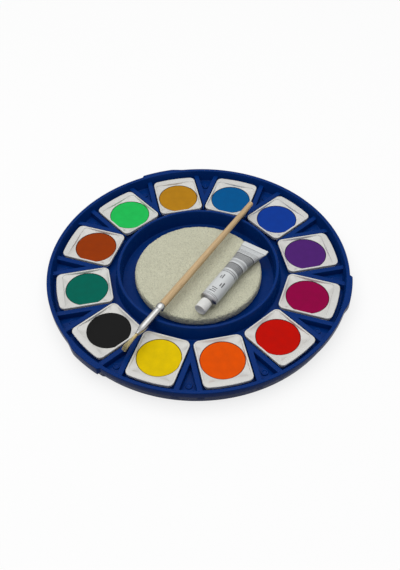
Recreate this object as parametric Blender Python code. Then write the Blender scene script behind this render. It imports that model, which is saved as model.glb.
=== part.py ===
"""Round watercolour paint box: a moulded tray with twelve lift-out pans round a sponge well,
a flat brush lying across the well and a small tube of paint lying on the sponge.

Frame: origin at the centre of the tray's underside, +Z up, metres.
"""
from math import asin, atan2, cos, pi, radians, sin, sqrt

import bmesh
import bpy
from mathutils import Matrix, Vector

MM = 0.001

# Clearances
SEAT_GAP = 0.3 * MM          # between a piece and what it rests on
PAINT_SIDE_GAP = 0.25 * MM   # round a paint tablet in its pan
TENON_GAP = 0.3 * MM         # round the handle's tenon and the bristle root, inside the ferrule
THREAD_GAP = 0.3 * MM        # between the tube's neck and its cap

# Pans and paint tablets
PAN_COUNT = 12
FIRST_PAN_ANGLE = radians(15)
PAINT_DIAMETER = 29.6 * MM
PAINT_THICKNESS = 2.1 * MM
PAN_FLOOR = 0.9 * MM
PAN_CUP_WALL = 0.75 * MM
PAN_SHELF_RISE = 0.2 * MM        # white shelf above the paint's surface
PAN_SHELF_THICKNESS = 1.0 * MM
PAN_BORDER_HEIGHT = 1.9 * MM     # raised border above the shelf
PAN_BORDER_WIDTH = 1.2 * MM
PAN_WALL_SLOPE = 0.15 * MM       # how far the border's inner wall leans
PAN_INNER_MARGIN = 2.25 * MM     # from the tablet's pocket to the pan's end near the well
PAN_OUTER_MARGIN = 5.95 * MM     # from the pocket to the end near the rim, mostly a slope
PAN_FLANGE_THICKNESS = 1.0 * MM
PAN_FLANGE_OVERHANG = 0.5 * MM
PAN_CORNER_RADIUS = 4.0 * MM
PAN_SHELF_CORNER = 2.6 * MM
PAN_EDGE_ROUND = 0.25 * MM
CORNER_STEPS = 3
OUTER_EDGE_STEPS = 4
CUP_SEGMENTS = 24

# Tray
FLOOR_HEIGHT = 4.4 * MM          # top of the floor that the pans stand on
FLOOR_THICKNESS = 1.7 * MM
WELL_FLOOR_THICKNESS = 1.7 * MM
PAN_RIM_GAP = 2.4 * MM           # from a pan's outer end to the rim's wall
PAN_RING_GAP = 3.5 * MM          # from a pan's inner end to the ring wall
RIM_HEIGHT = 13.6 * MM
RIM_WALL_LEAN = 1.4 * MM
LIP_WIDTH = 2.6 * MM
LIP_DEPTH = 4.8 * MM
LIP_ROUND = 0.4 * MM
SKIRT_WALL = 1.3 * MM
SKIRT_LEAN = 1.0 * MM
LIP_OVERHANG = 2.2 * MM
RING_HEIGHT = 14.8 * MM
RING_CREST_WIDTH = 1.9 * MM
RING_CREST_ROUND = 0.5 * MM
RING_OUTER_LEAN = 1.8 * MM
RING_INNER_LEAN = 0.9 * MM
FLOOR_FILLET = 0.8 * MM
TRAY_SEGMENTS = 84

# Ribs between the pans
RIB_HEIGHT = 4.8 * MM
RIB_WIDTH = 3.7 * MM
RIB_PAN_GAP = 0.9 * MM
RIB_NECK_WIDTH = 1.0 * MM
RIB_NECK_PAN_GAP = 0.36 * MM
RIB_NECK_REACH = 5.8 * MM        # from the ring wall's foot to the neck's tip
RIB_ROOT = 0.8 * MM              # how deep the ribs run into the floor
BOSS_DIAMETER = 5.0 * MM
BOSS_HEIGHT = 0.9 * MM
BOSS_DIMPLE_DIAMETER = 2.4 * MM
BOSS_DIMPLE_DEPTH = 0.5 * MM
BOSS_RIM_DISTANCE = 7.4 * MM
BOSS_SEGMENTS = 10

# Three grips on the rim
GRIP_COUNT = 3
GRIP_FIRST_ANGLE = radians(-20.4)
GRIP_SPAN = radians(17.6)
GRIP_RAMP = radians(6.0)
GRIP_STEP = radians(0.9)
GRIP_DEPTH = 1.7 * MM

# Sponge
SPONGE_THICKNESS = 7.6 * MM
SPONGE_WALL_GAP = 8.8 * MM
SPONGE_EDGE_ROUND = 0.8 * MM
SPONGE_SEGMENTS = 48

# Brush
BRUSH_ANGLE = radians(60.9)
BRUSH_SIDE_OFFSET = 1.14 * MM
BRUSH_END_REACH = 74.1 * MM      # handle end, measured from the tray's centre along the brush
BRUSH_FLAT_TILT = radians(-68)   # turn of the ferrule's flat from level, about the brush
HANDLE_LENGTH = 120.5 * MM
HANDLE_DIAMETER = 5.3 * MM
HANDLE_END_DIAMETER = 3.9 * MM
HANDLE_END_ROUND = 1.6 * MM
HANDLE_TAPER_POWER = 1.5
HANDLE_ROUND_SHARES = (0.5, 0.85)
HANDLE_STEPS = 8
HANDLE_SEGMENTS = 16
TENON_LENGTH = 14.0 * MM
FERRULE_LENGTH = 30.1 * MM
FERRULE_DIAMETER = 5.2 * MM
FERRULE_WALL = 0.3 * MM
FERRULE_BEAD_HEIGHT = 0.4 * MM
FERRULE_BEAD_LENGTH = 3.8 * MM
FERRULE_GROOVE_DEPTH = 0.15 * MM
FERRULE_GROOVE_LENGTH = 1.2 * MM
FERRULE_FLAT_LENGTH = 8.0 * MM
FERRULE_FLAT_THICKNESS = 2.0 * MM
FERRULE_FLAT_WIDTH = 7.0 * MM
FERRULE_SEGMENTS = 24
FERRULE_FLAT_STEPS = 4
BRISTLE_LENGTH = 12.6 * MM
BRISTLE_ROOT_LENGTH = 4.0 * MM
BRISTLE_MOUTH_DEPTH = 0.5 * MM
BRISTLE_TIP_THICKNESS = 3.2 * MM
BRISTLE_TIP_WIDTH = 7.6 * MM
BRISTLE_COLUMNS = 25
BRISTLE_ROWS = 6
BRISTLE_ROOT_FILL_SHARE = 0.6
BRISTLE_TIP_FILL_SHARE = 0.82

# Tube of paint
TUBE_ANGLE = radians(59.85)
TUBE_SIDE_OFFSET = 24.9 * MM
TUBE_CAP_REACH = 35.05 * MM      # cap's front, behind the tray's centre along the tube
TUBE_LENGTH = 74.4 * MM
TUBE_DIAMETER = 12.8 * MM
TUBE_SHOULDER_LENGTH = 1.7 * MM
TUBE_ROUND_LENGTH = 26.0 * MM
TUBE_SHOULDER_ROUND = 0.3 * MM
TUBE_CRIMP_LENGTH = 4.6 * MM
TUBE_CRIMP_WIDTH = 20.4 * MM
TUBE_CRIMP_THICKNESS = 1.2 * MM
TUBE_FOLD_STEP = 0.25 * MM
TUBE_CRIMP_DROP = 3.3 * MM       # how far the crimp lies below the round part's axis
TUBE_FLATTEN_POWER = 2.1
TUBE_FLATTEN_STEPS = 7
TUBE_SEGMENTS = 24
NECK_DIAMETER = 5.8 * MM
NECK_LENGTH = 5.8 * MM
NECK_BORE = 2.6 * MM
NECK_BORE_DEPTH = 3.0 * MM
CAP_DIAMETER = 8.3 * MM
CAP_LENGTH = 8.4 * MM
CAP_EDGE_ROUND = 0.4 * MM
CAP_TOP_DISH = 0.3 * MM
CAP_TOP_BORDER = 0.9 * MM
CAP_SEGMENTS = 24
LINER_THICKNESS = 0.7 * MM

# Sizes worked out from the ones above
PAINT_RADIUS = PAINT_DIAMETER / 2
POCKET_RADIUS = PAINT_RADIUS + PAINT_SIDE_GAP
PAN_HALF_WIDTH = POCKET_RADIUS + PAN_WALL_SLOPE + PAN_BORDER_WIDTH
PAN_INNER_LENGTH = POCKET_RADIUS + PAN_INNER_MARGIN
PAN_OUTER_LENGTH = POCKET_RADIUS + PAN_OUTER_MARGIN
PAN_PITCH = 2 * pi / PAN_COUNT
HALF_PITCH = PAN_PITCH / 2
NECK_HALF = RIB_NECK_WIDTH / 2
PITCH_RADIUS = (
    (PAN_HALF_WIDTH + NECK_HALF + RIB_NECK_PAN_GAP) / sin(HALF_PITCH)
    + PAN_INNER_LENGTH - PAN_CORNER_RADIUS
)

PAN_BOTTOM = FLOOR_HEIGHT + SEAT_GAP
POCKET_FLOOR = PAN_BOTTOM + PAN_FLOOR
PAINT_BOTTOM = POCKET_FLOOR + SEAT_GAP
PAINT_TOP = PAINT_BOTTOM + PAINT_THICKNESS
SHELF_TOP = PAINT_TOP + PAN_SHELF_RISE
SHELF_BOTTOM = SHELF_TOP - PAN_SHELF_THICKNESS
PAN_TOP = SHELF_TOP + PAN_BORDER_HEIGHT
FLANGE_BOTTOM = PAN_TOP - PAN_FLANGE_THICKNESS

RING_FOOT_OUTER = PITCH_RADIUS - PAN_INNER_LENGTH - PAN_RING_GAP
RING_CREST_OUTER = RING_FOOT_OUTER - RING_OUTER_LEAN
RING_CREST_INNER = RING_CREST_OUTER - RING_CREST_WIDTH
WELL_RADIUS = RING_CREST_INNER - RING_INNER_LEAN
RIM_WALL_FOOT = PITCH_RADIUS + PAN_OUTER_LENGTH + PAN_RIM_GAP
RIM_WALL_TOP = RIM_WALL_FOOT + RIM_WALL_LEAN
TRAY_RADIUS = RIM_WALL_TOP + LIP_WIDTH
SKIRT_TOP_RADIUS = TRAY_RADIUS - LIP_OVERHANG
SKIRT_FOOT_RADIUS = SKIRT_TOP_RADIUS - SKIRT_LEAN
LIP_BOTTOM = RIM_HEIGHT - LIP_DEPTH
FLOOR_UNDERSIDE = FLOOR_HEIGHT - FLOOR_THICKNESS

SPONGE_BOTTOM = WELL_FLOOR_THICKNESS + SEAT_GAP
SPONGE_TOP = SPONGE_BOTTOM + SPONGE_THICKNESS
SPONGE_RADIUS = WELL_RADIUS - SPONGE_WALL_GAP

HANDLE_RADIUS = HANDLE_DIAMETER / 2
HANDLE_END_RADIUS = HANDLE_END_DIAMETER / 2
FERRULE_RADIUS = FERRULE_DIAMETER / 2
TENON_RADIUS = FERRULE_RADIUS - FERRULE_WALL - TENON_GAP
RING_CREST_MIDDLE = (RING_CREST_OUTER + RING_CREST_INNER) / 2

TUBE_RADIUS = TUBE_DIAMETER / 2
TUBE_AXIS_HEIGHT = SPONGE_TOP + SEAT_GAP + TUBE_RADIUS
NECK_RADIUS = NECK_DIAMETER / 2
CAP_BORE_RADIUS = NECK_RADIUS + THREAD_GAP
SHOULDER_START = CAP_LENGTH + THREAD_GAP
NECK_FRONT = SHOULDER_START - NECK_LENGTH
LINER_BACK = NECK_FRONT - SEAT_GAP
LINER_FRONT = LINER_BACK - LINER_THICKNESS
CAP_BORE_FRONT = LINER_FRONT - SEAT_GAP

PAINT_COLOURS = {
    "violet": (0.073, 0.016, 0.153),
    "ultramarine": (0.005, 0.040, 0.287),
    "cerulean": (0.001, 0.087, 0.266),
    "ochre": (0.429, 0.198, 0.010),
    "light_green": (0.016, 0.479, 0.089),
    "brown": (0.279, 0.037, 0.003),
    "teal": (0.001, 0.117, 0.082),
    "black": (0.010, 0.010, 0.010),
    "yellow": (0.701, 0.497, 0.001),
    "orange": (0.723, 0.080, 0.001),
    "red": (0.491, 0.004, 0.001),
    "magenta": (0.258, 0.001, 0.051),
}


def make_material(name, colour, roughness, metallic=0.0):
    material = bpy.data.materials.new(name)
    material.use_nodes = True
    shader = material.node_tree.nodes["Principled BSDF"]
    shader.inputs["Base Color"].default_value = (*colour, 1.0)
    shader.inputs["Roughness"].default_value = roughness
    shader.inputs["Metallic"].default_value = metallic
    return material


def add_object(name, bm, material, parent=None, smooth_limit=radians(35)):
    """Turn a closed bmesh into a named object whose faces point out."""
    bmesh.ops.recalc_face_normals(bm, faces=bm.faces)
    mesh = bpy.data.meshes.new(name)
    bm.to_mesh(mesh)
    bm.free()
    mesh.shade_smooth()
    mesh.set_sharp_from_angle(angle=smooth_limit)
    mesh.materials.append(material)
    piece = bpy.data.objects.new(name, mesh)
    bpy.context.scene.collection.objects.link(piece)
    piece.parent = parent
    return piece


def add_anchor(name, matrix):
    """An empty that carries the pieces of one body."""
    anchor = bpy.data.objects.new(name, None)
    bpy.context.scene.collection.objects.link(anchor)
    anchor.matrix_world = matrix
    return anchor


def add_loop(bm, points):
    return [bm.verts.new(point) for point in points]


def bridge(bm, first, second):
    """Quads between two closed loops with the same number of points."""
    count = len(first)
    for index in range(count):
        following = (index + 1) % count
        bm.faces.new((first[index], first[following], second[following], second[index]))


def fill_between(bm, outer, inner):
    """Flat faces between two closed loops that may differ in their number of points."""
    edges = []
    for loop in (outer, inner):
        for index, vert in enumerate(loop):
            following = loop[(index + 1) % len(loop)]
            edges.append(bm.edges.get((vert, following)) or bm.edges.new((vert, following)))
    bmesh.ops.triangle_fill(bm, use_beauty=True, use_dissolve=False, edges=edges)


def loft(bm, sections, close_first=True, close_last=True):
    """Skin a list of point loops and close its ends with flat faces."""
    loops = [add_loop(bm, section) for section in sections]
    for first, second in zip(loops, loops[1:]):
        bridge(bm, first, second)
    if close_first:
        bm.faces.new(loops[0])
    if close_last:
        bm.faces.new(loops[-1])
    return loops


def circle(radius, height, segments, centre=(0.0, 0.0)):
    points = []
    for index in range(segments):
        angle = 2 * pi * index / segments
        points.append((centre[0] + radius * cos(angle), centre[1] + radius * sin(angle), height))
    return points


def turn_about_x(bm, profile, segments):
    """A solid of revolution along X from (place along X, radius) points, ends at radius zero."""
    previous = None
    for place, radius in profile:
        if radius == 0:
            current = bm.verts.new((place, 0, 0))
        else:
            current = []
            for index in range(segments):
                angle = 2 * pi * index / segments
                current.append(bm.verts.new((place, radius * cos(angle), radius * sin(angle))))
        if previous is not None:
            join_rings(bm, previous, current)
        previous = current


def join_rings(bm, previous, current):
    """Faces between two rings, or between a ring and a point on the axis."""
    if isinstance(previous, list) and isinstance(current, list):
        bridge(bm, previous, current)
        return
    ring, tip = (previous, current) if isinstance(previous, list) else (current, previous)
    for index, vert in enumerate(ring):
        bm.faces.new((vert, ring[(index + 1) % len(ring)], tip))


# Tray

def grip_shift(angle):
    """How far the rim and skirt swell out at an angle, for the three grips."""
    turn = 2 * pi / GRIP_COUNT
    place = (angle - GRIP_FIRST_ANGLE) % turn
    if place < GRIP_RAMP:
        return GRIP_DEPTH * (1 - cos(pi * place / GRIP_RAMP)) / 2
    if place < GRIP_SPAN:
        return GRIP_DEPTH
    if place < GRIP_SPAN + GRIP_STEP:
        return GRIP_DEPTH * (1 - (place - GRIP_SPAN) / GRIP_STEP)
    return 0.0


def tray_angles():
    """Even steps round the tray, with two close stations at each grip's sharp end."""
    step = 2 * pi / TRAY_SEGMENTS
    ends = []
    for index in range(GRIP_COUNT):
        end = (GRIP_FIRST_ANGLE + GRIP_SPAN + index * 2 * pi / GRIP_COUNT) % (2 * pi)
        ends += [end, end + GRIP_STEP]
    even = [index * step for index in range(TRAY_SEGMENTS)]
    spaced = [angle for angle in even if all(abs(angle - end) > step / 3 for end in ends)]
    return sorted(spaced + ends)


def tray_profile():
    """Radius, height and whether the grips move the point, from the base's centre to the well's."""
    crest_low = RING_HEIGHT - RING_CREST_ROUND
    rim_low = RIM_HEIGHT - LIP_ROUND
    ring_under = RING_CREST_INNER
    return [
        (0, 0, False),
        (ring_under, 0, False),
        (ring_under + FLOOR_UNDERSIDE, FLOOR_UNDERSIDE, False),
        (SKIRT_FOOT_RADIUS - SKIRT_WALL, FLOOR_UNDERSIDE, False),
        (SKIRT_FOOT_RADIUS - SKIRT_WALL, 0, False),
        (SKIRT_FOOT_RADIUS, 0, True),
        (SKIRT_TOP_RADIUS, LIP_BOTTOM, True),
        (TRAY_RADIUS, LIP_BOTTOM, True),
        (TRAY_RADIUS, rim_low, True),
        (TRAY_RADIUS - LIP_ROUND, RIM_HEIGHT, True),
        (RIM_WALL_TOP + LIP_ROUND, RIM_HEIGHT, False),
        (RIM_WALL_TOP, rim_low, False),
        (RIM_WALL_FOOT, FLOOR_HEIGHT + FLOOR_FILLET, False),
        (RIM_WALL_FOOT - FLOOR_FILLET, FLOOR_HEIGHT, False),
        (RING_FOOT_OUTER + FLOOR_FILLET, FLOOR_HEIGHT, False),
        (RING_FOOT_OUTER, FLOOR_HEIGHT + FLOOR_FILLET, False),
        (RING_CREST_OUTER, crest_low, False),
        (RING_CREST_OUTER - RING_CREST_ROUND, RING_HEIGHT, False),
        (RING_CREST_INNER + RING_CREST_ROUND, RING_HEIGHT, False),
        (RING_CREST_INNER, crest_low, False),
        (WELL_RADIUS, WELL_FLOOR_THICKNESS + FLOOR_FILLET, False),
        (WELL_RADIUS - FLOOR_FILLET, WELL_FLOOR_THICKNESS, False),
        (0, WELL_FLOOR_THICKNESS, False),
    ]


def rim_wall_radius(height):
    """Radius of the rim's inner wall at a height."""
    share = (height - FLOOR_HEIGHT) / (RIM_HEIGHT - FLOOR_HEIGHT)
    return RIM_WALL_FOOT + RIM_WALL_LEAN * share


def add_tray_shell(bm):
    previous = None
    angles = tray_angles()
    for radius, height, with_grip in tray_profile():
        if radius == 0:
            current = bm.verts.new((0, 0, height))
        else:
            current = []
            for angle in angles:
                reach = radius + (grip_shift(angle) if with_grip else 0)
                current.append(bm.verts.new((reach * cos(angle), reach * sin(angle), height)))
        if previous is not None:
            join_rings(bm, previous, current)
        previous = current


def rib_outline():
    """The V between two pans, pointing at the well, with +X along its middle."""
    face = PAN_HALF_WIDTH + RIB_PAN_GAP
    inner_face = face + RIB_WIDTH
    tip = RING_FOOT_OUTER + RIB_NECK_REACH
    neck_end = (face + NECK_HALF * cos(HALF_PITCH)) / sin(HALF_PITCH)
    pocket_tip = inner_face / sin(HALF_PITCH)
    rib_top = FLOOR_HEIGHT + RIB_HEIGHT
    end_radius = (rim_wall_radius(rib_top) + SKIRT_TOP_RADIUS) / 2
    outer_turn = HALF_PITCH - asin(face / end_radius)
    inner_turn = HALF_PITCH - asin(inner_face / end_radius)
    outer_end = (end_radius * cos(outer_turn), end_radius * sin(outer_turn))
    inner_end = (end_radius * cos(inner_turn), end_radius * sin(inner_turn))
    return [
        (tip, NECK_HALF), (tip, -NECK_HALF), (neck_end, -NECK_HALF),
        (outer_end[0], -outer_end[1]), (inner_end[0], -inner_end[1]),
        (pocket_tip, 0.0), inner_end, outer_end, (neck_end, NECK_HALF),
    ]


def add_ribs_and_bosses(bm):
    """All twelve ribs, each with the dimpled boss in its pocket, ready to join to the tray."""
    outline = rib_outline()
    bottom = FLOOR_HEIGHT - RIB_ROOT
    rib_top = FLOOR_HEIGHT + RIB_HEIGHT
    boss_radius = BOSS_DIAMETER / 2
    dimple_radius = BOSS_DIMPLE_DIAMETER / 2
    boss_top = FLOOR_HEIGHT + BOSS_HEIGHT
    boss_place = (RIM_WALL_FOOT - BOSS_RIM_DISTANCE, 0.0)
    for index in range(PAN_COUNT):
        turn = Matrix.Rotation(FIRST_PAN_ANGLE + HALF_PITCH + index * PAN_PITCH, 4, "Z")
        rib = [
            [turn @ Vector((x, y, height)) for x, y in outline]
            for height in (bottom, rib_top)
        ]
        loft(bm, rib)
        boss = [
            circle(boss_radius, bottom, BOSS_SEGMENTS, boss_place),
            circle(boss_radius, boss_top, BOSS_SEGMENTS, boss_place),
            circle(dimple_radius, boss_top, BOSS_SEGMENTS, boss_place),
            circle(dimple_radius, boss_top - BOSS_DIMPLE_DEPTH, BOSS_SEGMENTS, boss_place),
        ]
        loft(bm, [[turn @ Vector(point) for point in ring] for ring in boss])


def build_tray():
    plastic = make_material("tray_blue_plastic", (0.012, 0.040, 0.190), 0.35)
    shell = bmesh.new()
    add_tray_shell(shell)
    tray = add_object("tray", shell, plastic)
    ribs = bmesh.new()
    add_ribs_and_bosses(ribs)
    rib_guide = add_object("rib_guide", ribs, plastic)
    rib_guide.hide_render = True
    rib_guide.display_type = "WIRE"
    joint = tray.modifiers.new("ribs", "BOOLEAN")
    joint.operation = "UNION"
    joint.solver = "EXACT"
    joint.object = rib_guide
    return tray


# Pans and paint tablets

def pan_outline(inner_length, outer_length, half_width, corner, height):
    """A rounded oblong whose outer end follows the tray, as seen from the tablet's centre."""
    points = []
    end_radius = PITCH_RADIUS + outer_length
    side = half_width - corner
    middle = sqrt((end_radius - corner) ** 2 - side ** 2) - PITCH_RADIUS
    edge_turn = atan2(side, middle + PITCH_RADIUS)
    for step in range(1, OUTER_EDGE_STEPS):
        angle = edge_turn * (2 * step / OUTER_EDGE_STEPS - 1)
        points.append((end_radius * cos(angle) - PITCH_RADIUS, end_radius * sin(angle), height))
    for step in range(CORNER_STEPS + 1):
        angle = edge_turn + (pi / 2 - edge_turn) * step / CORNER_STEPS
        points.append((middle + corner * cos(angle), side + corner * sin(angle), height))
    for step in range(CORNER_STEPS + 1):
        angle = pi / 2 + pi / 2 * step / CORNER_STEPS
        points.append((corner - inner_length + corner * cos(angle), side + corner * sin(angle), height))
    for step in range(CORNER_STEPS + 1):
        angle = pi + pi / 2 * step / CORNER_STEPS
        points.append((corner - inner_length + corner * cos(angle), -side + corner * sin(angle), height))
    for step in range(CORNER_STEPS + 1):
        angle = -pi / 2 + (pi / 2 - edge_turn) * step / CORNER_STEPS
        points.append((middle + corner * cos(angle), -side + corner * sin(angle), height))
    return points


def inset_outline(inset, height):
    return pan_outline(
        PAN_INNER_LENGTH - inset, PAN_OUTER_LENGTH - inset, PAN_HALF_WIDTH - inset,
        PAN_CORNER_RADIUS - inset, height,
    )


def build_pan(bm):
    """Flange, raised border, shelf with its long outer slope, and the round cup below."""
    shelf_edge = POCKET_RADIUS + PAN_WALL_SLOPE / 2
    border_top = pan_outline(
        PAN_INNER_LENGTH - PAN_BORDER_WIDTH, PAN_OUTER_LENGTH - PAN_BORDER_WIDTH,
        PAN_HALF_WIDTH - PAN_BORDER_WIDTH, PAN_CORNER_RADIUS - PAN_BORDER_WIDTH, PAN_TOP,
    )
    shelf = pan_outline(shelf_edge, shelf_edge, shelf_edge, PAN_SHELF_CORNER, SHELF_TOP)
    block = PAN_FLANGE_OVERHANG
    outside = loft(bm, [
        inset_outline(block, SHELF_BOTTOM),
        inset_outline(block, FLANGE_BOTTOM),
        inset_outline(0, FLANGE_BOTTOM),
        inset_outline(0, PAN_TOP - PAN_EDGE_ROUND),
        inset_outline(PAN_EDGE_ROUND, PAN_TOP),
        border_top,
        shelf,
    ], close_first=False, close_last=False)
    cup_radius = POCKET_RADIUS + PAN_CUP_WALL
    cup = loft(bm, [
        circle(cup_radius, PAN_BOTTOM, CUP_SEGMENTS),
        circle(cup_radius, SHELF_BOTTOM, CUP_SEGMENTS),
    ], close_last=False)
    fill_between(bm, outside[0], cup[1])
    pocket = loft(bm, [
        circle(POCKET_RADIUS, SHELF_TOP, CUP_SEGMENTS),
        circle(POCKET_RADIUS, POCKET_FLOOR, CUP_SEGMENTS),
    ], close_first=False)
    fill_between(bm, outside[-1], pocket[0])


def build_pans():
    white = make_material("pan_white_plastic", (0.70, 0.69, 0.66), 0.25)
    for index, (colour_name, colour) in enumerate(PAINT_COLOURS.items()):
        turn = FIRST_PAN_ANGLE + index * PAN_PITCH
        place = Matrix.Rotation(turn, 4, "Z") @ Matrix.Translation((PITCH_RADIUS, 0, 0))
        anchor = add_anchor("carrier_" + colour_name, place)
        pan = bmesh.new()
        build_pan(pan)
        add_object("pan_" + colour_name, pan, white, anchor)
        tablet = bmesh.new()
        loft(tablet, [
            circle(PAINT_RADIUS, PAINT_BOTTOM, CUP_SEGMENTS),
            circle(PAINT_RADIUS, PAINT_TOP, CUP_SEGMENTS),
        ])
        paint = make_material("paint_" + colour_name, colour, 0.6)
        add_object("paint_" + colour_name, tablet, paint, anchor)


# Sponge

def build_sponge():
    foam = make_material("sponge_cream_foam", (0.52, 0.52, 0.36), 0.95)
    inner = SPONGE_RADIUS - SPONGE_EDGE_ROUND
    bm = bmesh.new()
    loft(bm, [
        circle(inner, SPONGE_BOTTOM, SPONGE_SEGMENTS),
        circle(SPONGE_RADIUS, SPONGE_BOTTOM + SPONGE_EDGE_ROUND, SPONGE_SEGMENTS),
        circle(SPONGE_RADIUS, SPONGE_TOP - SPONGE_EDGE_ROUND, SPONGE_SEGMENTS),
        circle(inner, SPONGE_TOP, SPONGE_SEGMENTS),
    ])
    add_object("sponge", bm, foam)


# Brush: local X runs from the bristles to the handle's end, zero where handle meets ferrule

def handle_radius(place):
    share = max(place, 0.0) / HANDLE_LENGTH
    return HANDLE_RADIUS + (HANDLE_END_RADIUS - HANDLE_RADIUS) * share ** HANDLE_TAPER_POWER


def brush_placement():
    """The brush rests on the ring's crest at two points, which sets its height and its tilt."""
    half_chord = sqrt(RING_CREST_MIDDLE ** 2 - BRUSH_SIDE_OFFSET ** 2)
    joint_reach = BRUSH_END_REACH - HANDLE_LENGTH
    handle_height = RING_HEIGHT + SEAT_GAP + handle_radius(half_chord - joint_reach)
    ferrule_height = RING_HEIGHT + SEAT_GAP + FERRULE_RADIUS
    tilt = atan2(handle_height - ferrule_height, 2 * half_chord)
    joint_height = ferrule_height + (half_chord + joint_reach) * sin(tilt)
    turn = Matrix.Rotation(BRUSH_ANGLE, 4, "Z")
    shift = Matrix.Translation((joint_reach, -BRUSH_SIDE_OFFSET, joint_height))
    return turn @ shift @ Matrix.Rotation(-tilt, 4, "Y")


def build_handle(anchor):
    wood = make_material("handle_raw_wood", (0.62, 0.42, 0.22), 0.6)
    shoulder = SEAT_GAP
    round_start = HANDLE_LENGTH - HANDLE_END_ROUND
    profile = [(-TENON_LENGTH, 0), (-TENON_LENGTH, TENON_RADIUS), (shoulder, TENON_RADIUS)]
    for step in range(HANDLE_STEPS + 1):
        place = shoulder + (round_start - shoulder) * step / HANDLE_STEPS
        profile.append((place, handle_radius(place)))
    end_radius = handle_radius(round_start)
    for share in HANDLE_ROUND_SHARES:
        fall = 1 - sqrt(1 - share ** 2)
        profile.append((round_start + HANDLE_END_ROUND * share, end_radius - end_radius * fall))
    profile.append((HANDLE_LENGTH, 0))
    bm = bmesh.new()
    turn_about_x(bm, profile, HANDLE_SEGMENTS)
    add_object("brush_handle", bm, wood, anchor)


def stadium(place, radius, spread, segments):
    """A round section pulled apart along Y by spread on each side."""
    points = []
    for index in range(segments):
        angle = 2 * pi * (index + 0.5) / segments
        shift = spread if cos(angle) > 0 else -spread
        points.append((place, radius * cos(angle) + shift, radius * sin(angle)))
    return points


def ferrule_stations():
    """Place, radius and spread of the ferrule's outer sections, from the handle to the bristles."""
    bead = FERRULE_BEAD_LENGTH
    groove = bead + FERRULE_GROOVE_LENGTH
    stations = [
        (0, FERRULE_RADIUS, 0),
        (-bead / 4, FERRULE_RADIUS + FERRULE_BEAD_HEIGHT * 3 / 4, 0),
        (-bead / 2, FERRULE_RADIUS + FERRULE_BEAD_HEIGHT, 0),
        (-bead * 3 / 4, FERRULE_RADIUS + FERRULE_BEAD_HEIGHT * 3 / 4, 0),
        (-bead, FERRULE_RADIUS - FERRULE_GROOVE_DEPTH, 0),
        (-groove, FERRULE_RADIUS, 0),
    ]
    flat_start = FERRULE_LENGTH - FERRULE_FLAT_LENGTH
    flat_radius = FERRULE_FLAT_THICKNESS / 2
    flat_spread = FERRULE_FLAT_WIDTH / 2 - flat_radius
    for step in range(FERRULE_FLAT_STEPS + 1):
        share = step / FERRULE_FLAT_STEPS
        ease = (1 - cos(pi * share)) / 2
        radius = FERRULE_RADIUS + (flat_radius - FERRULE_RADIUS) * ease
        stations.append((-flat_start - FERRULE_FLAT_LENGTH * share, radius, flat_spread * ease))
    return stations


def build_ferrule(anchor):
    metal = make_material("ferrule_bright_metal", (0.72, 0.72, 0.70), 0.22, 1.0)
    outer = []
    inner = []
    bore_radius = FERRULE_RADIUS - FERRULE_WALL
    for place, radius, spread in ferrule_stations():
        outer.append(stadium(place, radius, spread, FERRULE_SEGMENTS))
        if place < -FERRULE_BEAD_LENGTH or place == 0:
            inner.append(stadium(place, min(radius - FERRULE_WALL, bore_radius), spread, FERRULE_SEGMENTS))
    bm = bmesh.new()
    outside = loft(bm, outer, close_first=False, close_last=False)
    bore = loft(bm, inner, close_first=False, close_last=False)
    bridge(bm, outside[0], bore[0])
    bridge(bm, outside[-1], bore[-1])
    flat = add_object("brush_ferrule", bm, metal, anchor)
    flat.matrix_local = Matrix.Rotation(BRUSH_FLAT_TILT, 4, "X")


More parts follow.
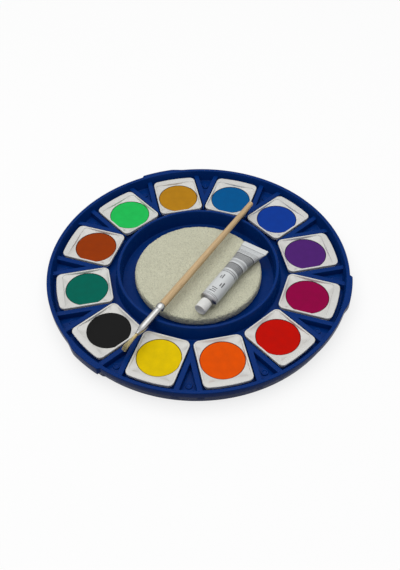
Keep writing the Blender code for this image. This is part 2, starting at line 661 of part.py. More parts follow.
def build_bristles(anchor):
    """Strands on a triangle grid, fused to the root slab that the ferrule grips."""
    hair = make_material("bristle_golden_hair", (0.60, 0.50, 0.25), 0.7)
    root_half_thickness = FERRULE_FLAT_THICKNESS / 2 - FERRULE_WALL - TENON_GAP
    root_half_width = FERRULE_FLAT_WIDTH / 2 - FERRULE_WALL - TENON_GAP - root_half_thickness
    front = BRISTLE_MOUTH_DEPTH - FERRULE_LENGTH
    back = front + BRISTLE_ROOT_LENGTH
    tip = -FERRULE_LENGTH - BRISTLE_LENGTH
    tip_half_width = BRISTLE_TIP_WIDTH / 2
    tip_half_thickness = BRISTLE_TIP_THICKNESS / 2

    def grid_point(column, row, half_width, half_thickness, place):
        across = half_width * (2 * column / BRISTLE_COLUMNS - 1)
        through = half_thickness * (2 * row / BRISTLE_ROWS - 1)
        return Vector((place, across, through))

    def shrink(corners, share):
        middle = sum(corners, Vector()) / len(corners)
        return [middle + (corner - middle) * share for corner in corners]

    bm = bmesh.new()
    grid = []
    for column in range(BRISTLE_COLUMNS + 1):
        line = []
        for row in range(BRISTLE_ROWS + 1):
            line.append(bm.verts.new(grid_point(column, row, root_half_width, root_half_thickness, front)))
        grid.append(line)
    for column in range(BRISTLE_COLUMNS):
        for row in range(BRISTLE_ROWS):
            square = [(column, row), (column + 1, row), (column + 1, row + 1), (column, row + 1)]
            for cell in (square[:3], square[2:] + square[:1]):
                base = [grid[i][j] for i, j in cell]
                root = shrink([vert.co.copy() for vert in base], BRISTLE_ROOT_FILL_SHARE)
                end = shrink(
                    [grid_point(i, j, tip_half_width, tip_half_thickness, tip) for i, j in cell],
                    BRISTLE_TIP_FILL_SHARE,
                )
                root_loop = add_loop(bm, root)
                end_loop = add_loop(bm, end)
                bridge(bm, base, root_loop)
                bridge(bm, root_loop, end_loop)
                bm.faces.new(end_loop)
    corners = [
        bm.verts.new(grid_point(i, j, root_half_width, root_half_thickness, back))
        for i, j in ((0, 0), (BRISTLE_COLUMNS, 0), (BRISTLE_COLUMNS, BRISTLE_ROWS), (0, BRISTLE_ROWS))
    ]
    bm.faces.new(corners)
    bm.faces.new([line[0] for line in grid] + [corners[1], corners[0]])
    bm.faces.new([line[-1] for line in grid] + [corners[2], corners[3]])
    bm.faces.new(grid[0] + [corners[3], corners[0]])
    bm.faces.new(grid[-1] + [corners[2], corners[1]])
    tuft = add_object("brush_bristles", bm, hair, anchor)
    tuft.matrix_local = Matrix.Rotation(BRUSH_FLAT_TILT, 4, "X")


def build_brush():
    anchor = add_anchor("brush_carrier", brush_placement())
    build_handle(anchor)
    build_ferrule(anchor)
    build_bristles(anchor)


# Tube of paint: local X runs from the cap's front to the crimp

def tube_section(place, radius, spread, drop):
    return [(x, y, z - drop) for x, y, z in stadium(place, radius, spread, TUBE_SEGMENTS)]


def build_tube_body(anchor):
    metal = make_material("tube_white_enamel", (0.72, 0.72, 0.72), 0.3)
    shoulder_end = SHOULDER_START + TUBE_SHOULDER_LENGTH
    flatten_start = shoulder_end + TUBE_ROUND_LENGTH
    crimp_start = TUBE_LENGTH - TUBE_CRIMP_LENGTH
    crimp_radius = TUBE_CRIMP_THICKNESS / 2
    web_radius = crimp_radius - TUBE_FOLD_STEP
    crimp_spread = TUBE_CRIMP_WIDTH / 2 - crimp_radius
    bore_radius = NECK_BORE / 2
    sections = [
        tube_section(NECK_FRONT + NECK_BORE_DEPTH, bore_radius, 0, 0),
        tube_section(NECK_FRONT, bore_radius, 0, 0),
        tube_section(NECK_FRONT, NECK_RADIUS, 0, 0),
        tube_section(SHOULDER_START, NECK_RADIUS, 0, 0),
        tube_section(shoulder_end - TUBE_SHOULDER_ROUND, TUBE_RADIUS - TUBE_SHOULDER_ROUND, 0, 0),
        tube_section(shoulder_end, TUBE_RADIUS, 0, 0),
    ]
    for step in range(TUBE_FLATTEN_STEPS + 1):
        share = step / TUBE_FLATTEN_STEPS
        ease = share ** TUBE_FLATTEN_POWER
        radius = TUBE_RADIUS + (web_radius - TUBE_RADIUS) * ease
        place = flatten_start + (crimp_start - flatten_start) * share
        sections.append(tube_section(place, radius, crimp_spread * ease, TUBE_CRIMP_DROP * ease))
    sections.append(tube_section(crimp_start, crimp_radius, crimp_spread, TUBE_CRIMP_DROP))
    sections.append(tube_section(TUBE_LENGTH, crimp_radius, crimp_spread, TUBE_CRIMP_DROP))
    bm = bmesh.new()
    loft(bm, sections)
    add_object("tube_body", bm, metal, anchor)


def build_tube_cap(anchor):
    plastic = make_material("cap_white_plastic", (0.75, 0.75, 0.73), 0.4)
    radius = CAP_DIAMETER / 2
    dish_radius = radius - CAP_TOP_BORDER
    profile = [
        (CAP_TOP_DISH, 0),
        (CAP_TOP_DISH, dish_radius - CAP_TOP_DISH),
        (0, dish_radius),
        (0, radius - CAP_EDGE_ROUND),
        (CAP_EDGE_ROUND, radius),
        (CAP_LENGTH, radius),
        (CAP_LENGTH, CAP_BORE_RADIUS),
        (CAP_BORE_FRONT, CAP_BORE_RADIUS),
        (CAP_BORE_FRONT, 0),
    ]
    bm = bmesh.new()
    turn_about_x(bm, profile, CAP_SEGMENTS)
    add_object("tube_cap", bm, plastic, anchor)


def build_cap_liner(anchor):
    wad = make_material("liner_soft_plastic", (0.60, 0.60, 0.58), 0.7)
    radius = CAP_BORE_RADIUS - THREAD_GAP
    profile = [(LINER_FRONT, 0), (LINER_FRONT, radius), (LINER_BACK, radius), (LINER_BACK, 0)]
    bm = bmesh.new()
    turn_about_x(bm, profile, CAP_SEGMENTS)
    add_object("cap_liner", bm, wad, anchor)


def build_tube():
    turn = Matrix.Rotation(TUBE_ANGLE, 4, "Z")
    shift = Matrix.Translation((-TUBE_CAP_REACH, -TUBE_SIDE_OFFSET, TUBE_AXIS_HEIGHT))
    anchor = add_anchor("tube_carrier", turn @ shift)
    build_tube_body(anchor)
    build_tube_cap(anchor)
    build_cap_liner(anchor)


def clear_scene():
    for piece in list(bpy.data.objects):
        bpy.data.objects.remove(piece, do_unlink=True)


def main():
    clear_scene()
    build_tray()
    build_pans()
    build_sponge()
    build_brush()
    build_tube()
    bpy.context.view_layer.update()


main()
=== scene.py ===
"""Dresses the round watercolour paint box: moulded tray, lift-out pans, pressed tablets of paint,
foam sponge, flat brush and a small tube of paint, on a pale studio floor.

Lengths are metres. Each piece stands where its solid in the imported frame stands.
"""

from math import asin, atan2, cos, hypot, pi, radians, sin, sqrt, tan
from random import Random

import bmesh
import bpy
from bpy.props import FloatProperty, FloatVectorProperty, IntProperty
from mathutils import Matrix, Quaternion, Vector, noise


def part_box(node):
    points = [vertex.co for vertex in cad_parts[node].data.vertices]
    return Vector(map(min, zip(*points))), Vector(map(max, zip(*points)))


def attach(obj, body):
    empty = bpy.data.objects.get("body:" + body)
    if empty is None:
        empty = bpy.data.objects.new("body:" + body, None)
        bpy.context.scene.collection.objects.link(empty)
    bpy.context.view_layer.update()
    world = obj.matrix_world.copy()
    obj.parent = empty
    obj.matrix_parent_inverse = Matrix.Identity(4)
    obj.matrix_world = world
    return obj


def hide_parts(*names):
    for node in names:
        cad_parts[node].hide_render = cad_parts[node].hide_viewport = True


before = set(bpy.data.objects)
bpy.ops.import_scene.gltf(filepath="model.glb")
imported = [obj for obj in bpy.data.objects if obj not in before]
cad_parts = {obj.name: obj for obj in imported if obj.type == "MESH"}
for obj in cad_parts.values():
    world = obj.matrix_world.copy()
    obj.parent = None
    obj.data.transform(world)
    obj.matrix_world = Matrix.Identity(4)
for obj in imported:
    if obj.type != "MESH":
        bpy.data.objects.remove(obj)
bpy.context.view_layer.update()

bl_info = {
    "name": "Round watercolour paint box",
    "version": (1, 0, 0),
    "blender": (4, 5, 0),
    "location": "View3D > Sidebar > Paint box",
    "description": "Builds a round paint box with its pans, sponge, brush and tube of paint",
    "category": "Add Mesh",
}

MM = 0.001
SEAT_GAP = 0.3 * MM

# Ring of pans
PAN_COUNT = 12
FIRST_PAN_ANGLE = radians(15)
PAN_PITCH = 2 * pi / PAN_COUNT
HALF_PITCH = PAN_PITCH / 2
POCKET_RADIUS = 15.05 * MM
PAN_HALF_WIDTH = 16.4 * MM
PAN_INNER_LENGTH = 17.3 * MM
PAN_OUTER_LENGTH = 21.0 * MM
PAN_CORNER_RADIUS = 4.0 * MM
PAN_RIM_GAP = 2.4 * MM
PAN_RING_GAP = 3.5 * MM
RIB_NECK_HALF = 0.5 * MM
RIB_NECK_PAN_GAP = 0.36 * MM
PITCH_RADIUS = (
    (PAN_HALF_WIDTH + RIB_NECK_HALF + RIB_NECK_PAN_GAP) / sin(HALF_PITCH)
    + PAN_INNER_LENGTH - PAN_CORNER_RADIUS
)

# Heights in the tray
FLOOR_HEIGHT = 4.4 * MM
PAN_FLOOR = 0.9 * MM
TABLET_THICKNESS = 2.1 * MM
SHELF_RISE = 0.2 * MM
BORDER_HEIGHT = 1.9 * MM
PAN_BOTTOM = FLOOR_HEIGHT + SEAT_GAP
POCKET_FLOOR = PAN_BOTTOM + PAN_FLOOR
PAINT_BOTTOM = POCKET_FLOOR + SEAT_GAP
PAINT_TOP = PAINT_BOTTOM + TABLET_THICKNESS
SHELF_TOP = PAINT_TOP + SHELF_RISE
PAN_TOP = SHELF_TOP + BORDER_HEIGHT

# Lies of the brush and of the tube, as turns about Z and places along and beside that line
BRUSH_ANGLE = radians(60.9)
BRUSH_SIDE_OFFSET = 1.14 * MM
BRUSH_END_REACH = 74.1 * MM
BRUSH_FLAT_TILT = radians(-68)
TUBE_ANGLE = radians(59.85)
TUBE_SIDE_OFFSET = 24.9 * MM
TUBE_CAP_REACH = 35.05 * MM

PAINTS = {
    "violet": (0.073, 0.016, 0.153),
    "ultramarine": (0.005, 0.040, 0.287),
    "cerulean": (0.001, 0.087, 0.266),
    "ochre": (0.429, 0.198, 0.010),
    "light_green": (0.016, 0.479, 0.089),
    "brown": (0.279, 0.037, 0.003),
    "teal": (0.001, 0.117, 0.082),
    "black": (0.010, 0.010, 0.010),
    "yellow": (0.701, 0.497, 0.001),
    "orange": (0.723, 0.080, 0.001),
    "red": (0.491, 0.004, 0.001),
    "magenta": (0.258, 0.001, 0.051),
}


def length(name, description, millimetres):
    return FloatProperty(
        name=name, description=description, default=millimetres * MM, min=0.0, unit="LENGTH",
    )


def colour(name, description, value):
    return FloatVectorProperty(
        name=name, description=description, default=value, size=3, min=0.0, max=1.0, subtype="COLOR",
    )


class PaintBoxTraySizes(bpy.types.PropertyGroup):
    rim_height: length("Rim height", "Top of the tray's rim above the table", 13.6)
    rim_width: length("Rim width", "Flat top of the rim", 2.59)
    ring_height: length("Ring height", "Crest of the wall round the sponge well", 14.8)
    rib_width: length("Rib width", "Top of each leg of the V between two pans", 3.7)
    rib_height: length("Rib height", "Ribs above the tray's floor", 4.8)
    grip_depth: length("Grip depth", "How far each grip swells out of the rim", 1.7)
    plastic: colour("Tray plastic", "Royal blue of the moulded tray", (0.0012, 0.025, 0.150))


class PaintBoxPanSizes(bpy.types.PropertyGroup):
    border_width: length("Border width", "Raised edge along the sides of a pan", 1.2)
    tablet_diameter: length("Tablet diameter", "Pressed tablet of dry paint", 29.8)
    tablet_round: length("Tablet edge", "Rounding of the tablet's upper edge", 0.45)
    plastic: colour("Pan plastic", "Warm white of the lift-out pans", (0.60, 0.595, 0.57))


class PaintBoxSpongeSizes(bpy.types.PropertyGroup):
    pore_size: length("Pore size", "Typical opening in the foam's face", 0.9)
    pore_depth: length("Pore depth", "Depth of the larger pores", 0.55)
    foam: colour("Foam", "Cream of the open-cell foam", (0.55, 0.545, 0.415))


class PaintBoxBrushSizes(bpy.types.PropertyGroup):
    handle_length: length("Handle length", "Wooden handle outside the ferrule", 120.5)
    handle_diameter: length("Handle diameter", "Handle where it meets the ferrule", 5.3)
    ferrule_length: length("Ferrule length", "Metal sleeve from handle to bristles", 30.1)
    bristle_length: length("Bristle length", "Bristles outside the ferrule", 12.6)
    strands: IntProperty(
        name="Strands", description="Bristles in the tuft", default=1300, min=100, max=4000,
    )
    wood: colour("Wood", "Raw light wood of the handle", (0.60, 0.42, 0.225))
    hair: colour("Bristle", "Golden cream of the bristles at the ferrule", (0.86, 0.70, 0.34))


class PaintBoxTubeSizes(bpy.types.PropertyGroup):
    tube_length: length("Tube length", "From the cap's front to the crimped end", 74.4)
    tube_diameter: length("Tube diameter", "Round part of the tube", 12.7)
    cap_diameter: length("Cap diameter", "Ribbed screw cap", 8.3)
    cap_ribs: IntProperty(
        name="Cap ribs", description="Grip ribs round the cap", default=40, min=8, max=90,
    )
    enamel: colour("Enamel", "White lacquer on the soft metal", (0.60, 0.62, 0.625))
    print_and_shadow_grey: colour("Print grey", "Plain grey bands round the tube", (0.05, 0.05, 0.055))


class PaintBoxStageSizes(bpy.types.PropertyGroup):
    floor_size: FloatProperty(
        name="Floor size", description="Side of the pale floor", default=4.0, min=1.0, unit="LENGTH",
    )
    lens: FloatProperty(
        name="Lens", description="Focal length in millimetres", default=46.14, min=10.0, max=200.0,
    )


# Mesh helpers

def add_loop(bm, points):
    return [bm.verts.new(point) for point in points]


def bridge(bm, first, second, material_index=0):
    """Quads between two closed loops with the same number of points."""
    count = len(first)
    for index in range(count):
        following = (index + 1) % count
        face = bm.faces.new((first[index], first[following], second[following], second[index]))
        face.material_index = material_index


def close_to_point(bm, loop, point, material_index=0):
    """A fan from a loop to one vertex, for a flat or slightly domed end."""
    tip = bm.verts.new(point)
    for index, vert in enumerate(loop):
        face = bm.faces.new((vert, loop[(index + 1) % len(loop)], tip))
        face.material_index = material_index


def loft(bm, sections, first_tip=None, last_tip=None, material_indices=None):
    """Skin a list of point loops, each end closed to a point if one is given."""
    loops = [add_loop(bm, section) for section in sections]
    for index, (first, second) in enumerate(zip(loops, loops[1:])):
        bridge(bm, first, second, material_indices[index] if material_indices else 0)
    if first_tip is not None:
        close_to_point(bm, loops[0], first_tip, material_indices[0] if material_indices else 0)
    if last_tip is not None:
        close_to_point(bm, loops[-1], last_tip, material_indices[-1] if material_indices else 0)
    return loops


def circle(radius, height, segments, centre=(0.0, 0.0)):
    return [
        (
            centre[0] + radius * cos(2 * pi * index / segments),
            centre[1] + radius * sin(2 * pi * index / segments),
            height,
        )
        for index in range(segments)
    ]


def round_corners(corners, steps):
    """Arcs in place of the corners of an open line of (x, y, fillet) points."""
    line = [Vector(corners[0][:2])]
    for before, here, after in zip(corners, corners[1:], corners[2:]):
        middle, fillet = Vector(here[:2]), here[2]
        to_before = Vector(before[:2]) - middle
        to_after = Vector(after[:2]) - middle
        half = to_before.angle(to_after, pi) / 2
        if fillet == 0 or half > radians(88):
            line.append(middle)
            continue
        setback = min(fillet / tan(half), to_before.length / 2, to_after.length / 2)
        start = middle + to_before.normalized() * setback
        end = middle + to_after.normalized() * setback
        for step in range(steps + 1):
            share = step / steps
            line.append(start.lerp(middle, share).lerp(middle.lerp(end, share), share))
    line.append(Vector(corners[-1][:2]))
    return line


def turn_profile(bm, profile, segments, axis="Z", wave=None):
    """A solid of revolution from (radius, place) points that start and end on the axis."""
    previous = None
    for radius, place in profile:
        if radius < 1e-9:
            point = (0, 0, place) if axis == "Z" else (place, 0, 0)
            current = bm.verts.new(point)
        else:
            current = []
            for index in range(segments):
                angle = 2 * pi * index / segments
                reach = radius + (wave(angle, radius, place) if wave else 0)
                across, up = reach * cos(angle), reach * sin(angle)
                point = (across, up, place) if axis == "Z" else (place, across, up)
                current.append(bm.verts.new(point))
        if previous is not None:
            join_rings(bm, previous, current)
        previous = current


def join_rings(bm, previous, current):
    if isinstance(previous, list) and isinstance(current, list):
        bridge(bm, previous, current)
        return
    ring, tip = (previous, current) if isinstance(previous, list) else (current, previous)
    for index, vert in enumerate(ring):
        bm.faces.new((vert, ring[(index + 1) % len(ring)], tip))


def finish_piece(name, bm, materials, place, smooth_limit=radians(32)):
    """Turn a closed bmesh into an object at its place, smooth but for its sharp edges."""
    bmesh.ops.recalc_face_normals(bm, faces=bm.faces)
    mesh = bpy.data.meshes.new(name)
    bm.to_mesh(mesh)
    bm.free()
    mesh.shade_smooth()
    mesh.set_sharp_from_angle(angle=smooth_limit)
    for material in materials:
        mesh.materials.append(material)
    piece = bpy.data.objects.new(name, mesh)
    bpy.context.scene.collection.objects.link(piece)
    piece.matrix_world = place
    return piece


def take_place(piece, body, node):
    """The piece rides on a body and stands for its solid there, which is hidden."""
    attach(piece, body)
    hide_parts(node)


# Material helpers

def start_material(name, shade, roughness, metallic=0.0, sockets=None):
    material = bpy.data.materials.new(name)
    material.use_nodes = True
    tree = material.node_tree
    shader = tree.nodes["Principled BSDF"]
    shader.inputs["Base Color"].default_value = (*shade, 1.0)
    shader.inputs["Roughness"].default_value = roughness
    shader.inputs["Metallic"].default_value = metallic
    for socket, value in (sockets or {}).items():
        shader.inputs[socket].default_value = value
    return material, tree, shader


def add_node(tree, kind, settings=None, inputs=None):
    made = tree.nodes.new(kind)
    for key, value in (settings or {}).items():
        setattr(made, key, value)
    for key, value in (inputs or {}).items():
        made.inputs[key].default_value = value
    return made


def object_place(tree, stretch=(1.0, 1.0, 1.0)):
    """The piece's own coordinates in metres, stretched along its axes."""
    place = add_node(tree, "ShaderNodeTexCoord")
    fit = add_node(tree, "ShaderNodeMapping", inputs={"Scale": stretch})
    tree.links.new(place.outputs["Object"], fit.inputs["Vector"])
    return fit.outputs["Vector"]


def add_noise(tree, place, scale, detail=3.0, roughness=0.5):
    pattern = add_node(
        tree, "ShaderNodeTexNoise", inputs={"Scale": scale, "Detail": detail, "Roughness": roughness},
    )
    tree.links.new(place, pattern.inputs["Vector"])
    return pattern.outputs["Fac"]


def add_cells(tree, place, scale, feature="F1"):
    pattern = add_node(tree, "ShaderNodeTexVoronoi", {"feature": feature}, {"Scale": scale})
    tree.links.new(place, pattern.inputs["Vector"])
    return pattern.outputs["Distance"]


def add_range(tree, value, from_low, from_high, to_low, to_high):
    spread = add_node(tree, "ShaderNodeMapRange", inputs={
        "From Min": from_low, "From Max": from_high, "To Min": to_low, "To Max": to_high,
    })
    tree.links.new(value, spread.inputs["Value"])
    return spread.outputs["Result"]


def add_mix(tree, share, first, second):
    """A colour between two: each is a link or three numbers."""
    mix = add_node(tree, "ShaderNodeMix", {"data_type": "RGBA"})
    for socket, value in ((mix.inputs[0], share), (mix.inputs[6], first), (mix.inputs[7], second)):
        if isinstance(value, bpy.types.NodeSocket):
            tree.links.new(value, socket)
        elif isinstance(value, (tuple, list)):
            socket.default_value = (*value, 1.0)
        else:
            socket.default_value = value
    return mix.outputs[2]


def add_sum(tree, first, second, operation="ADD"):
    made = add_node(tree, "ShaderNodeMath", {"operation": operation})
    for socket, value in zip(made.inputs, (first, second)):
        if isinstance(value, bpy.types.NodeSocket):
            tree.links.new(value, socket)
        else:
            socket.default_value = value
    return made.outputs[0]


def paint_with(tree, shader, shade):
    tree.links.new(shade, shader.inputs["Base Color"])


def roughen_with(tree, shader, pattern, from_low, from_high, to_low, to_high):
    """Roughness that follows a pattern between two values."""
    spread = add_range(tree, pattern, from_low, from_high, to_low, to_high)
    tree.links.new(spread, shader.inputs["Roughness"])


def split_place(tree, place):
    split = add_node(tree, "ShaderNodeSeparateXYZ")
    tree.links.new(place, split.inputs["Vector"])
    return split.outputs


def add_clouds(tree, place, scale, detail=4.0, roughness=0.55):
    """Soft patches that run from zero to one."""
    return add_range(tree, add_noise(tree, place, scale, detail, roughness), 0.3, 0.7, 0.0, 1.0)


def tinted(tree, share, shade, low, high):
    """A shade that varies between two shares of itself."""
    return add_mix(tree, share, scaled(shade, low), scaled(shade, high))


def add_bump(tree, shader, height, distance, strength=1.0):
    made = add_node(tree, "ShaderNodeBump", inputs={"Distance": distance, "Strength": strength})
    tree.links.new(height, made.inputs["Height"])
    tree.links.new(made.outputs["Normal"], shader.inputs["Normal"])


def distance_from_middle(tree, place):
    """How far a point lies from the piece's upright axis."""
    parts = split_place(tree, place)
    flat = add_node(tree, "ShaderNodeCombineXYZ")
    for side in ("X", "Y"):
        tree.links.new(parts[side], flat.inputs[side])
    reach = add_node(tree, "ShaderNodeVectorMath", {"operation": "LENGTH"})
    tree.links.new(flat.outputs[0], reach.inputs[0])
    return reach.outputs["Value"]


def scaled(shade, share):
    return tuple(min(1.0, part * share) for part in shade)


def moulded_plastic(name, shade, roughness, cloud_scale=35.0, shine=0.5):
    """Injection-moulded plastic: faint clouds of colour, handled gloss, fine grain."""
    material, tree, shader = start_material(
        name, shade, roughness, sockets={"IOR": 1.49, "Specular IOR Level": shine},
    )
    place = object_place(tree)
    paint_with(tree, shader, tinted(tree, add_clouds(tree, place, cloud_scale), shade, 0.93, 1.06))
    wear = add_noise(tree, place, cloud_scale * 6, 5.0, 0.6)
    roughen_with(tree, shader, wear, 0.35, 0.7, roughness * 0.85, roughness * 1.25)
    grain = add_noise(tree, place, 2600.0, 2.0)
    add_bump(tree, shader, grain, 0.012 * MM, 0.5)
    return material


# The pocket's darkening runs out between these reaches: paint dust and painted shade of the gap round the
# tablet.
DUST_AND_SHADE_START = POCKET_RADIUS + 0.02 * MM
DUST_AND_SHADE_END = POCKET_RADIUS + 0.1 * MM


def stained_shaded_plastic(name, shade, stain_and_shade):
    """White pan plastic whose pocket is darkened in the paint's colour up to the pocket's edge: partly
    paint dust, partly painted shade of the gap round the tablet.
    """
    material, tree, shader = start_material(name, shade, 0.24, sockets={"IOR": 1.49})
    place = object_place(tree)
    reach = distance_from_middle(tree, place)
    # Painted shade and paint dust: the pocket darkened towards the paint's own colour.
    dust_and_shade = add_range(tree, reach, DUST_AND_SHADE_START, DUST_AND_SHADE_END, 0.9, 0.0)
    clean = tinted(tree, add_clouds(tree, place, 90.0), shade, 0.95, 1.05)
    paint_with(tree, shader, add_mix(tree, dust_and_shade, clean, stain_and_shade))
    roughen_with(tree, shader, add_noise(tree, place, 540.0, 5.0, 0.6), 0.35, 0.7, 0.2, 0.3)
    return material


# Darker ring at the tablet's edge: painted shade of the gap round the tablet, with some real staining.
TABLET_RIM_START = 14.4 * MM
TABLET_RIM_FULL = 14.75 * MM
TABLET_RIM_STAIN_AND_SHADE = 0.3


def pressed_paint(name, shade):
    """Dry pressed paint: fine powdery grain, faint pits, a slightly polished face and a darker ring at
    its edge, partly stain and partly painted shade of the gap round it.
    """
    material, tree, shader = start_material(name, shade, 0.6, sockets={"Specular IOR Level": 0.04})
    place = object_place(tree)
    clouds = add_clouds(tree, place, 160.0, 5.0, 0.6)
    mottled = tinted(tree, clouds, shade, 0.93, 1.07)
    specks = add_range(tree, add_cells(tree, place, 1500.0), 0.08, 0.2, 0.35, 0.0)
    faced = add_mix(tree, specks, mottled, scaled(shade, 1.35))
    # Painted shade and stain: the tablet darkens towards its edge.
    rim = add_range(tree, distance_from_middle(tree, place), TABLET_RIM_START, TABLET_RIM_FULL, 0.0, 0.8)
    paint_with(tree, shader, add_mix(tree, rim, faced, scaled(shade, TABLET_RIM_STAIN_AND_SHADE)))
    roughen_with(tree, shader, clouds, 0.0, 1.0, 0.5, 0.68)
    grain = add_noise(tree, place, 1900.0, 4.0, 0.65)
    pits = add_range(tree, add_cells(tree, place, 700.0), 0.0, 0.22, 0.0, 0.5)
    add_bump(tree, shader, add_sum(tree, grain, pits), 0.03 * MM, 0.6)
    return material


def open_cell_foam(shade):
    """Sponge: painted light on the cell walls and painted shade, darker and yellower, in the hollows of
    the cells.
    """
    material, tree, shader = start_material(
        "sponge_cream_foam", shade, 0.95, sockets={"Sheen Weight": 0.15, "Specular IOR Level": 0.2},
    )
    place = object_place(tree)
    cells = add_cells(tree, place, 1150.0)
    fine = add_cells(tree, place, 2300.0)
    broad_walls = add_range(tree, cells, 0.1, 0.55, 0.0, 1.0)
    walls = add_sum(tree, broad_walls, add_range(tree, fine, 0.1, 0.5, 0.0, 0.5))
    share = add_range(tree, walls, 0.0, 1.3, 0.0, 1.0)
    clouds = add_range(tree, add_noise(tree, place, 55.0, 4.0), 0.3, 0.7, 0.0, 0.35)
    # Painted light and shade: cell walls lighter, hollows of the cells darker.
    faced = tinted(tree, share, shade, 0.62, 1.15)
    paint_with(tree, shader, add_mix(tree, clouds, faced, scaled(shade, 0.9)))
    add_bump(tree, shader, walls, 0.35 * MM, 0.8)
    return material


def raw_wood(shade):
    """Light untreated wood: long fibres, soft year rings and short dark pores along the handle."""
    material, tree, shader = start_material("handle_raw_wood", shade, 0.6, sockets={"IOR": 1.42})
    rings = add_noise(tree, object_place(tree, (14.0, 900.0, 900.0)), 1.0, 3.0, 0.5)
    fibres = add_noise(tree, object_place(tree, (90.0, 5200.0, 5200.0)), 1.0, 4.0, 0.7)
    pores = add_noise(tree, object_place(tree, (260.0, 6500.0, 6500.0)), 1.0, 1.0)
    ringed = add_range(tree, rings, 0.35, 0.65, 0.0, 1.0)
    broad = tinted(tree, ringed, shade, 0.86, 1.12)
    striped = add_mix(tree, add_range(tree, fibres, 0.4, 0.75, 0.0, 0.75), broad, scaled(shade, 0.55))
    dark = add_range(tree, pores, 0.66, 0.72, 0.0, 0.55)
    paint_with(tree, shader, add_mix(tree, dark, striped, scaled(shade, 0.42)))
    roughen_with(tree, shader, fibres, 0.3, 0.7, 0.5, 0.72)
    add_bump(tree, shader, add_sum(tree, fibres, pores, "SUBTRACT"), 0.05 * MM, 0.6)
    return material


def drawn_metal(name, shade, roughness):
    """Thin drawn aluminium: hairlines along its length and a few handled patches."""
    material, tree, shader = start_material(name, shade, roughness, 1.0)
    hairlines = add_noise(tree, object_place(tree, (60.0, 7000.0, 7000.0)), 1.0, 3.0, 0.6)
    patches = add_noise(tree, object_place(tree), 420.0, 3.0)
    share = add_range(tree, hairlines, 0.3, 0.7, 0.0, 1.0)
    paint_with(tree, shader, tinted(tree, share, shade, 0.9, 1.04))
    worn = add_sum(tree, hairlines, patches)
    roughen_with(tree, shader, worn, 0.7, 1.3, roughness * 0.75, roughness * 1.4)
    add_bump(tree, shader, hairlines, 0.01 * MM, 0.4)
    return material


def bristle_hair(shade, tip_painted_shade, root_place, tip_place):
    """Bristles: golden at the ferrule, olive grey towards the tip as painted shade, each strand a little
    different.
    """
    material, tree, shader = start_material(
        "bristle_golden_hair", shade, 0.5, sockets={"Sheen Weight": 0.2},
    )
    parts = split_place(tree, object_place(tree))
    along = add_range(tree, parts["X"], root_place, tip_place, 0.0, 1.0)
    # Painted shade: the colour darkens to olive grey towards the tip.
    base = add_mix(tree, along, shade, tip_painted_shade)
    strands = add_noise(tree, object_place(tree, (50.0, 4200.0, 4200.0)), 1.0, 2.0)
    streaks = add_range(tree, strands, 0.35, 0.65, 0.0, 0.45)
    paint_with(tree, shader, add_mix(tree, streaks, base, scaled(shade, 0.7)))
    return material


def between(tree, value, low, high):
    """One where a value lies between two limits."""
    above = add_sum(tree, value, low, "GREATER_THAN")
    return add_sum(tree, above, add_sum(tree, value, high, "LESS_THAN"), "MULTIPLY")


def striped_enamel(shade, grey, bands, bars):
    """White lacquer with plain print and one band of painted shadow at the crimp's fold.

    A band is (start, end, depth) and a short bar (start, end, left, right).
    """
    material, tree, shader = start_material(
        "tube_white_enamel", shade, 0.3, sockets={"IOR": 1.5, "Specular IOR Level": 0.35},
    )
    parts = split_place(tree, object_place(tree))
    along, across = parts["X"], parts["Y"]
    on_top = add_sum(tree, parts["Z"], 0.0, "GREATER_THAN")
    cover = add_sum(tree, on_top, 0.0, "MULTIPLY")
    for start, end, depth in bands:
        band = add_sum(tree, between(tree, along, start, end), depth, "MULTIPLY")
        cover = add_sum(tree, cover, band, "MAXIMUM")
    for start, end, left, right in bars:
        lengthwise = between(tree, along, start, end)
        bar = add_sum(tree, lengthwise, between(tree, across, left, right), "MULTIPLY")
        cover = add_sum(tree, cover, add_sum(tree, bar, on_top, "MULTIPLY"), "MAXIMUM")
    rubbed = add_noise(tree, object_place(tree), 520.0, 4.0, 0.6)
    # Print, with one band of painted shadow at the crimp's fold.
    ink_and_shadow = add_sum(tree, cover, add_range(tree, rubbed, 0.3, 0.7, 0.86, 1.0), "MULTIPLY")
    paint_with(tree, shader, add_mix(tree, ink_and_shadow, shade, grey))
    roughen_with(tree, shader, rubbed, 0.3, 0.7, 0.24, 0.38)
    dents = add_noise(tree, object_place(tree), 170.0, 3.0)
    add_bump(tree, shader, dents, 0.25 * MM, 0.35)
    return material


# Tray

RING_FOOT_OUTER = PITCH_RADIUS - PAN_INNER_LENGTH - PAN_RING_GAP
RING_OUTER_LEAN = 1.8 * MM
RING_CREST_WIDTH = 1.9 * MM
RING_INNER_LEAN = 0.9 * MM
WELL_FLOOR = 1.7 * MM
FLOOR_THICKNESS = 1.7 * MM
RIM_WALL_FOOT = PITCH_RADIUS + PAN_OUTER_LENGTH + PAN_RIM_GAP
RIM_WALL_LEAN = 1.4 * MM
RIM_STEP = 0.25 * MM
RIM_STEP_WIDTH = 0.9 * MM
LIP_DEPTH = 4.8 * MM
LIP_OVERHANG = 2.2 * MM
LIP_ROUND = 1.3 * MM
LIP_EDGE = 0.4 * MM
SKIRT_WALL = 1.3 * MM
SKIRT_LEAN = 1.0 * MM
GRIP_COUNT = 3
GRIP_FIRST_ANGLE = radians(-20.4)
GRIP_SPAN = radians(17.6)
GRIP_RAMP = radians(6.0)
GRIP_STEP = radians(0.9)
GRIP_SKIRT_SHARE = 0.5
GRIP_LIP_DROP = 1.8 * MM
TRAY_SEGMENTS = 360
TRAY_SHINE = 0.045
RIB_PAN_GAP = 0.9 * MM
RIB_NECK_REACH = 5.8 * MM
RIB_ROOT = 0.8 * MM
RIB_EDGE = 0.35 * MM
BOSS_RADIUS = 2.5 * MM
BOSS_HEIGHT = 0.9 * MM
